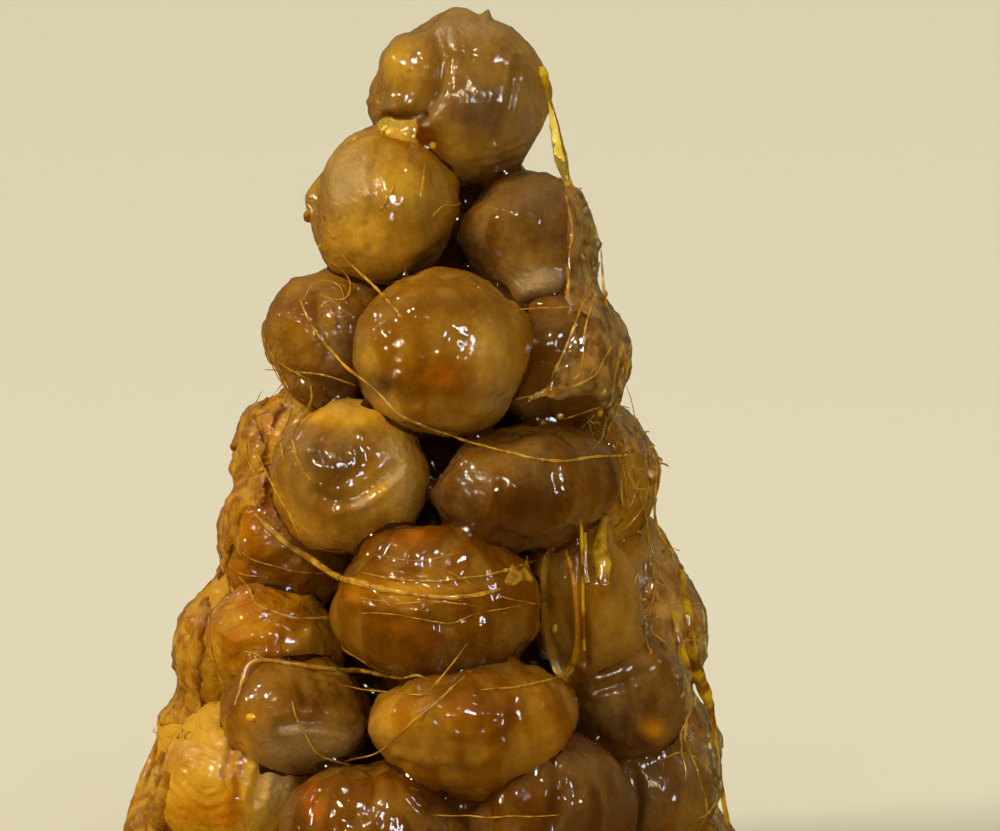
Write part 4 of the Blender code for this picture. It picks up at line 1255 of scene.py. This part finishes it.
# Thick runs of caramel: a name, and its places from the front: right, up, thickness.
RUNS = {
    "long_drip": ((15.4, -39.2, 1.6), (13.6, -42.8, 1.8), (13, -51.7, 2), (13.9, -62, 2.3),
        (15.7, -70.9, 2.8), (18.4, -76.5, 3), (21.3, -73.9, 1.8), (22.8, -66.5, 1.1), (22.5, -56.1, 1),
        (21.3, -45.7, 1), (19.5, -39.8, 1)),
    "short_drip_left": ((24.9, -34.8, 1.2), (25.2, -39.8, 1.6), (25.5, -45.7, 2.4), (26, -49.6, 2)),
    "short_drip_right": ((30.8, -30.3, 3), (29.6, -38.3, 4.2), (30.2, -44.3, 5), (30.8, -49.9, 3)),
    "thin_drip": ((24, -30.9, 0.9), (24.3, -42.8, 1), (24.6, -54.6, 1), (24.9, -69.4, 1.1)),
    "side_run": ((53.9, -46.3, 2), (54.5, -51.7, 2.4), (55.4, -59.1, 3.4), (56.2, -66.5, 3.8),
        (57.4, -72.4, 3.6), (59.2, -78.3, 4.2), (61, -82.7, 3.6), (62.8, -88.9, 2), (63.9, -97.5, 1.5),
        (65.4, -109.4, 1.5), (67.8, -123, 1.6)),
    "side_run_inner": ((51.2, -58.2, 2), (52.1, -63.5, 3), (53.3, -69.4, 3.4), (55.6, -73.9, 2.4)),
    "fin_outer": ((-101.2, -95.5, 1.2), (-102.1, -99.6, 2.6), (-103.9, -105.5, 4.2), (-105.7, -111.7, 5),
        (-107.7, -118.3, 5.6), (-109.2, -125.7, 6)),
    "fin_middle": ((-99.5, -99.6, 2), (-100.6, -104.9, 4.6), (-102.1, -110.9, 6), (-104.2, -117.4, 7),
        (-105.7, -125.7, 7)),
    "fin_inner": ((-98.3, -105.5, 2.4), (-99.2, -110.9, 4.4), (-100.6, -117.4, 6), (-102.1, -125.7, 6)),
    "crown_run": ((12.7, 100.5, 2.6), (14.2, 94.9, 1.6), (15.4, 89.8, 1.8), (16.6, 83, 3.2),
        (17.8, 77.1, 3.6), (19.8, 69.7, 2.6), (21.9, 66.2, 1.6), (23.7, 62.6, 2)),
    "crown_bead": ((12.1, 102.9, 2.6), (12.7, 100.5, 3.4), (13.3, 97.5, 2.2)),
}

# Drops and beads: right, up, radius, and how wide and how high for that radius.
DROPS = (
    (-19.8, 80.1, 1, 1, 1), (-56.5, 59.1, 1.5, 0.9, 1.3), (-60.7, 41, 0.8, 0.8, 1.2),
    (-53.3, 74.1, 0.9, 1, 1), (-42.6, 81.5, 0.9, 1, 1), (29.9, 36.3, 1, 0.7, 1.4),
    (32.3, 39.2, 1.2, 0.8, 1.3), (29, 1, 1.3, 1, 1), (30.5, 7, 1, 1, 1), (-73.4, -89.2, 1.1, 1.6, 0.9),
    (36.1, 20.3, 1.1, 0.8, 1.2), (38.2, 20.6, 0.8, 0.8, 1.2), (44.1, -18.5, 1.8, 0.9, 1.5),
    (47.1, -24.1, 0.8, 0.7, 1.6), (-79, -77.1, 0.9, 0.8, 1.4), (17.8, 0.1, 1.2, 1, 1),
    (26.3, 36.3, 0.7, 1, 1), (16.3, -62.9, 0.9, 0.8, 1.5), (44.4, -70, 0.8, 0.8, 1.3),
    (61.6, -84.8, 1.2, 0.8, 1.4),
)


def make_runs(name, which, surface, tree, material):
    threads = []
    for run in which:
        line = along(RUNS[run], RUN_STEP)
        points = lay(surface, [from_front(right, up) for right, up, _ in line], RUN_TAUT, RUN_LIFT)
        if points:
            threads.append((points, line[:, 2] / 2))
    runs = spin(name, threads, tree, material, Sides=14, Unevenness=0.16, Bead_share=0.0, Seed=6)
    set_field(runs.data, "depth", RUN_DEPTH)
    return runs


def make_drops(surface, material):
    """Rounded drops of caramel that sit on the puffs."""
    drops = bmesh.new()
    for right, up, radius, wide, high in DROPS:
        start, direction = from_front(right, up)
        place, normal, _, _ = surface.ray_cast(start, direction)
        if place is None:
            place, normal, _, _ = surface.find_nearest(start + direction * VIEW_DISTANCE * MM)
        for vert in bmesh.ops.create_icosphere(drops, subdivisions=3, radius=radius * MM)["verts"]:
            uneven = noise.noise(vert.co / (radius * MM) * DROP_LUMPS + Vector((right, up, 0)))
            spread = Vector((vert.co.x * wide, vert.co.y * DROP_DEEP, vert.co.z * high))
            vert.co = place + normal * radius * DROP_LIFT * MM + spread * (1 + DROP_LUMP * uneven)
    obj = add_object("caramel_drops", mesh_of("caramel_drops", drops))
    set_field(obj.data, "depth", RUN_DEPTH)
    obj.data.shade_smooth()
    finish_piece(obj, material)


# ---------------------------------------------------------------- materials

# How strongly each depth of clear caramel takes up red, green and blue, and the deepest that is told apart.
CARAMEL_UPTAKE = (0.46, 0.86, 2.4)
DEEPEST = 2.0

# The crust from pale to brown, its dull bare skin, a painted orange glow for light through the caramel, and
# caramel in the gaps, darkened with painted shade.
CRUST = ((0.0, (0.70, 0.38, 0.03)), (0.45, (0.36, 0.185, 0.024)), (1.0, (0.13, 0.060, 0.020)))
DULL_CRUST = (0.42, 0.27, 0.09, 1)
PAINTED_GLOW_COLOUR = (0.55, 0.125, 0.003, 1)
GAP_CARAMEL_AND_SHADE = ((0.3, (0.03, 0.012, 0.002)), (0.7, (0.15, 0.06, 0.006)))


def attribute(tree, name):
    return Value(add(tree, "ShaderNodeAttribute", attribute_name=name).outputs["Fac"])


def blend_colour(tree, share, a, b, mode="MIX"):
    return new(tree, "ShaderNodeMix", {0: share, 6: a, 7: b}, output=2, data_type="RGBA", blend_type=mode)


def ramp(tree, share, stops):
    node = add(tree, "ShaderNodeValToRGB", {"Fac": share})
    band = node.color_ramp
    while len(band.elements) < len(stops):
        band.elements.new(0.5)
    for element, (place, colour) in zip(band.elements, stops):
        element.position = place
        element.color = (*colour, 1)
    return Value(node.outputs["Color"])


def bump(tree, height, strength, distance):
    return new(tree, "ShaderNodeBump", {"Strength": strength, "Distance": distance * MM, "Height": height})


def use_group(tree, group, **values):
    return Value(feed(add(tree, "ShaderNodeGroup", node_tree=group), values).outputs[0])


def new_material(name):
    finish = bpy.data.materials.new(name)
    finish.use_nodes = True
    return finish, finish.node_tree, finish.node_tree.nodes["Principled BSDF"]


def caramel_depth_group():
    """A colour as it shows through clear caramel of this depth."""
    tree, given = new_group("under caramel", "ShaderNodeTree", {
        "Color": ("Color", (0.5, 0.3, 0.1, 1)), "Depth": ("Float", 0.5)}, ("Color", "Color"))
    stops = [(share, tuple(math.exp(-uptake * DEEPEST * share) for uptake in CARAMEL_UPTAKE))
             for share in (0, 0.25, 0.5, 0.75, 1)]
    tint = ramp(tree, given["Depth"] * (1 / DEEPEST), stops)
    return put_out(tree, blend_colour(tree, 1.0, given["Color"], tint, mode="MULTIPLY"))


def object_place(tree):
    return Value(add(tree, "ShaderNodeTexCoord").outputs["Object"])


def set_noise(tree, given, **settings):
    """Noise of the given size in millimetres, longer in height where the given stretch is over 1."""
    squash = new(tree, "ShaderNodeCombineXYZ", {"X": 1.0, "Y": 1.0, "Z": 1.0 / given["Stretch"]})
    where = new(tree, "ShaderNodeVectorMath", {0: object_place(tree), 1: squash}, operation="MULTIPLY")
    wave = add(tree, "ShaderNodeTexNoise", {"Vector": where, "Scale": 1 / MM / given["Size"], **settings})
    return Value(wave.outputs["Fac"])


def ripple_group():
    """Height of a surface that has set with fine ripples and grains."""
    tree, given = new_group("set ripples", "ShaderNodeTree", {
        "Size": ("Float", 2.0), "Stretch": ("Float", 1.0), "Detail": ("Float", 3.0)}, ("Height", "Float"))
    return put_out(tree, set_noise(tree, given, Detail=given["Detail"], Roughness=0.55))


def strand_group():
    """Height of a surface with threads of caramel sunk into it, as a net of soft ridges."""
    tree, given = new_group("sunken strands", "ShaderNodeTree", {
        "Size": ("Float", 3.0), "Stretch": ("Float", 1.0)}, ("Height", "Float"))
    away = abs(set_noise(tree, given, Detail=1.5, Distortion=0.6) - 0.5)
    return put_out(tree, (1.0 - away * 6.0).clamped() ** 1.5)


def bead_group():
    """Height of a surface with small round beads set on it, in this share of the cells."""
    tree, given = new_group("set beads", "ShaderNodeTree", {
        "Size": ("Float", 3.6), "Share": ("Float", 0.3)}, ("Height", "Float"))
    cells = add(tree, "ShaderNodeTexVoronoi", {"Vector": object_place(tree), "Scale": 1 / MM / given["Size"]})
    chance = add(tree, "ShaderNodeSeparateXYZ", {0: Value(cells.outputs["Color"])})
    radius = Value(chance.outputs["X"]) * 0.2 + 0.24
    away = Value(cells.outputs["Distance"]) / radius
    dome = (1.0 - away * away).clamped()
    chosen = Value(chance.outputs["Y"]) < given["Share"]
    return put_out(tree, dome * radius * (chosen * 1.8))


def glazed_choux(groups):
    """Baked crust under clear caramel, glossy where the caramel lies thick and dull where it is bare."""
    finish, tree, shader = new_material("glazed_choux")
    wet = attribute(tree, "wet")
    grain = use_group(tree, groups.ripples, Size=1.3, Stretch=1.0, Detail=4.0)
    mottle = use_group(tree, groups.ripples, Size=6.0, Stretch=1.6, Detail=3.0) - 0.5
    # The bake field holds the crust's browning together with the painted shade and painted light.
    browning_and_shade = attribute(tree, "bake") + mottle * 0.45 + (grain - 0.5) * 0.4
    shown = use_group(tree, groups.depth, Color=ramp(tree, browning_and_shade.clamped(), CRUST),
                      Depth=attribute(tree, "glaze") + mottle * 0.4)
    dull = (1.0 - wet) * 0.55
    shown = blend_colour(tree, dull * 0.6, shown, DULL_CRUST)
    flow = use_group(tree, groups.ripples, Size=2.1, Stretch=1.3, Detail=0.5)
    fused = use_group(tree, groups.strands, Size=7.0, Stretch=0.7) * (attribute(tree, "strands") * wet)
    beads = use_group(tree, groups.beads, Size=3.0, Share=attribute(tree, "beads"))
    height = grain * (1.0 - wet) + flow * 0.45 + fused * 0.5 + beads
    # The painted glow blends the colour towards orange where light would come through the caramel.
    feed(shader, {"Base Color": blend_colour(tree, attribute(tree, "painted_glow"), shown, PAINTED_GLOW_COLOUR),
                  "Roughness": dull + 0.045, "IOR": 1.45, "Specular IOR Level": 0.28,
                  "Normal": bump(tree, height, 1.0, 0.5)})
    return finish


def set_caramel(groups):
    """Deep caramel in the gaps, dark and glossy, its dark colour partly painted shade."""
    finish, tree, shader = new_material("set_caramel")
    mottle = use_group(tree, groups.ripples, Size=7.0, Stretch=1.0, Detail=3.0)
    flow = use_group(tree, groups.ripples, Size=2.5, Stretch=1.5, Detail=1.0)
    shown = use_group(tree, groups.depth, Color=ramp(tree, mottle, GAP_CARAMEL_AND_SHADE),
                      Depth=1.3 - attribute(tree, "warmth"))
    feed(shader, {"Base Color": shown, "Roughness": 0.05, "IOR": 1.48, "Specular IOR Level": 0.28,
                  "Normal": bump(tree, flow, 0.4, 0.6)})
    return finish


def clear_caramel(groups, name, dark, bright, size, clear, roughness=0.05, tint=0.5, relief=0.3, share=0.3):
    """Amber caramel that light comes through, in dark and bright patches, deeper where it is thick."""
    finish, tree, shader = new_material(name)
    mottle = use_group(tree, groups.ripples, Size=size, Stretch=1.3, Detail=3.0)
    # The bright patches are partly painted light, standing in for light caught in the caramel.
    amber = blend_colour(tree, ((mottle - 0.5) * 5.0 + 0.5).clamped(), (*dark, 1), (*bright, 1))
    flow = use_group(tree, groups.ripples, Size=2.4, Stretch=1.5, Detail=0.5)
    height = flow * (relief * 2) + use_group(tree, groups.beads, Size=3.0, Share=share)
    shown = use_group(tree, groups.depth, Color=amber, Depth=attribute(tree, "depth") * tint)
    feed(shader, {"Base Color": shown, "Roughness": roughness, "IOR": 1.48, "Specular IOR Level": 0.32,
                  "Transmission Weight": clear, "Normal": bump(tree, height, 1.0, 0.5)})
    return finish


# ---------------------------------------------------------------- floor, light and camera

FLOOR_SIZE = 60.0
FLOOR_COLOUR = (0.79, 0.765, 0.64, 1)
LIGHT_DISTANCE = 1.6

# The room's own light: how bright it is, how much brighter overhead and behind, and its least and most.
ROOM_LOW = 0.02
ROOM_LIFT = 0.2
ROOM_BACK = 0.1
ROOM_LEAST = 0.01
ROOM_MOST = 0.3

# Soft suns that light the tower and don't show in its caramel: bearing, elevation, width in degrees, strength
# and colour.
SUNS = {
    "key": (-68, 40, 18, 1.9, (1.0, 0.89, 0.70)),
    "sky": (20, 72, 120, 1.15, (1.0, 0.96, 0.81)),
    "fill": (15, 10, 110, 0.9, (1.0, 0.91, 0.75)),
}

# Small bright lights that the caramel reflects: two columns of cool panes, and warm slits to the left.
PANE_CORNER, PANE_ACROSS, PANE_UP = 19, 6, 7
PANE_DISTANCE, PANE_SIZE, PANE_POWER, PANE_COLOUR = 1.9, (0.12, 0.15), 5.5, (0.84, 0.91, 1.0)
SLITS = ((-20, 36), (-36, 48), (-50, 24), (-70, 42), (-92, 30))
SLIT_SIZE, SLIT_POWER, SLIT_COLOUR = (0.02, 0.08), 12, (1.0, 0.88, 0.58)


def make_floor():
    floor = bmesh.new()
    bmesh.ops.create_grid(floor, x_segments=1, y_segments=1, size=FLOOR_SIZE / 2)
    obj = add_object("floor", mesh_of("floor", floor))
    finish, _, shader = new_material("floor")
    feed(shader, {"Base Color": FLOOR_COLOUR, "Roughness": 0.85})
    obj.data.materials.append(finish)
    obj.visible_glossy = False


def make_lamp(name, kind, bearing, elevation, distance, power, colour):
    """A light at a bearing and an elevation that shines on the tower."""
    lamp = bpy.data.lights.new(name, kind)
    lamp.energy = power
    lamp.color = colour
    obj = add_object(name, lamp)
    turn, lift = math.radians(bearing), math.radians(elevation)
    away = Vector((math.sin(turn) * math.cos(lift), -math.cos(turn) * math.cos(lift), math.sin(lift)))
    obj.location = look_at + away * distance
    obj.rotation_mode = "QUATERNION"
    obj.rotation_quaternion = away.to_track_quat("Z", "Y")
    obj.visible_camera = False
    return obj


def make_glint(name, bearing, elevation, distance, size, power, colour):
    """A small light that is only seen in the caramel."""
    obj = make_lamp(name, "AREA", bearing, elevation, distance, power, colour)
    obj.data.shape = "RECTANGLE"
    obj.data.size, obj.data.size_y = size
    obj.visible_diffuse = False


def make_lights():
    for name, (bearing, elevation, spread, power, colour) in SUNS.items():
        sun = make_lamp(name, "SUN", bearing, elevation, LIGHT_DISTANCE, power, colour)
        sun.data.angle = math.radians(spread)
        sun.visible_glossy = False
    for column, row in itertools.product(range(2), range(3)):
        make_glint(f"pane_{column}_{row}", PANE_CORNER + PANE_ACROSS * column, PANE_CORNER + PANE_UP * row,
                   PANE_DISTANCE, PANE_SIZE, PANE_POWER, PANE_COLOUR)
    for bearing, elevation in SLITS:
        make_glint(f"slit_{-bearing}", bearing, elevation, LIGHT_DISTANCE, SLIT_SIZE, SLIT_POWER, SLIT_COLOUR)


def make_room():
    """A room that is bright overhead and behind the tower, and dim in front of it."""
    world = bpy.data.worlds.new("room")
    world.use_nodes = True
    tree = world.node_tree
    where = Value(add(tree, "ShaderNodeTexCoord").outputs["Generated"])
    part = add(tree, "ShaderNodeSeparateXYZ", {0: where})
    strength = Value(part.outputs["Z"]) * ROOM_LIFT + Value(part.outputs["Y"]) * ROOM_BACK + ROOM_LOW
    level = new(tree, "ShaderNodeClamp", {"Value": strength, "Min": ROOM_LEAST, "Max": ROOM_MOST})
    feed(tree.nodes["Background"], {"Color": (1.0, 0.92, 0.70, 1), "Strength": level})
    bpy.context.scene.world = world
    bpy.context.scene.view_settings.view_transform = "Standard"


def make_camera():
    camera = add_object("camera", bpy.data.cameras.new("camera"))
    camera.data.sensor_width = SENSOR_WIDTH
    camera.data.lens = SENSOR_WIDTH * VIEW_DISTANCE / VIEW_WIDTH
    camera.location = eye
    camera.rotation_mode = "QUATERNION"
    camera.rotation_quaternion = toward.to_track_quat("-Z", "Y")
    bpy.context.scene.camera = camera


# ---------------------------------------------------------------- all together

Groups = namedtuple("Groups", "depth ripples strands beads")
groups = Groups(caramel_depth_group(), ripple_group(), strand_group(), bead_group())
choux_finish = glazed_choux(groups)
set_finish = set_caramel(groups)
spun_finish = clear_caramel(groups, "spun_caramel", (0.46, 0.22, 0.013), (0.90, 0.57, 0.055), 3, 0.4,
                            tint=0.25)
film_finish = clear_caramel(groups, "caramel_film", (0.70, 0.50, 0.16), (1.0, 0.86, 0.42), 5, 0.92, tint=0.3)
web_finish = clear_caramel(groups, "caramel_web", (0.58, 0.38, 0.10), (1.0, 0.81, 0.33), 4, 0.9, tint=0.33)
pool_finish = clear_caramel(groups, "caramel_pool", (0.80, 0.56, 0.06), (0.95, 0.78, 0.12), 9, 0.8,
                            relief=0.1, tint=0.3, share=0)
coat_finish = clear_caramel(groups, "caramel_coat", (0.44, 0.18, 0.014), (0.76, 0.42, 0.04), 4, 0.3,
                            roughness=0.03, tint=0.2, relief=0.4, share=0.6)
drip_finish = clear_caramel(groups, "caramel_drip", (0.88, 0.61, 0.06), (1.0, 0.83, 0.15), 4, 0.95,
                            roughness=0.03, tint=0.15, share=0)
run_finish = clear_caramel(groups, "caramel_run", (0.32, 0.11, 0.005), (1.0, 0.64, 0.02), 5, 0.4,
                           tint=0.2, share=0.1)

puffs = make_choux(choux_finish)
filling = make_set_caramel(puffs, set_finish)
surface = tree_of([obj.data for obj in puffs + [filling]])
spun = spun_tree(spun_finish)
make_front_threads(surface, spun, spun_finish)
make_wraps(surface, spun, spun_finish)
make_frizz("right_frizz", surface, spun, spun_finish, (60, 112), (110, 236), 80, 8)
make_frizz("left_frizz", surface, spun, spun_finish, (-112, -60), (60, 215), 44, 9)
make_flows("left_flows", surface, spun, coat_finish, (-112, -60), (112, 195), 60, 12)
make_flows("right_flows", surface, spun, spun_finish, (60, 104), (60, 225), 56, 13)

web_finishes = {"left_coat": coat_finish, "left_skirt": coat_finish, "crown_pool": pool_finish,
                "front_shard": spun_finish, "right_web": web_finish, "right_web_top": web_finish}
for number, (name, web) in enumerate(WEBS.items()):
    make_web(name, surface, web_finishes.get(name, film_finish), web, 40 + 5 * number)

clear_runs = ("long_drip", "crown_run")
fins = ("fin_outer", "fin_middle", "fin_inner")
make_runs("left_fin", fins, surface, spun, coat_finish)
make_runs("clear_drips", clear_runs, surface, spun, drip_finish).visible_shadow = False
make_runs("caramel_runs", [run for run in RUNS if run not in clear_runs + fins], surface, spun, run_finish)
make_drops(surface, run_finish)

make_floor()
make_lights()
make_room()
make_camera()
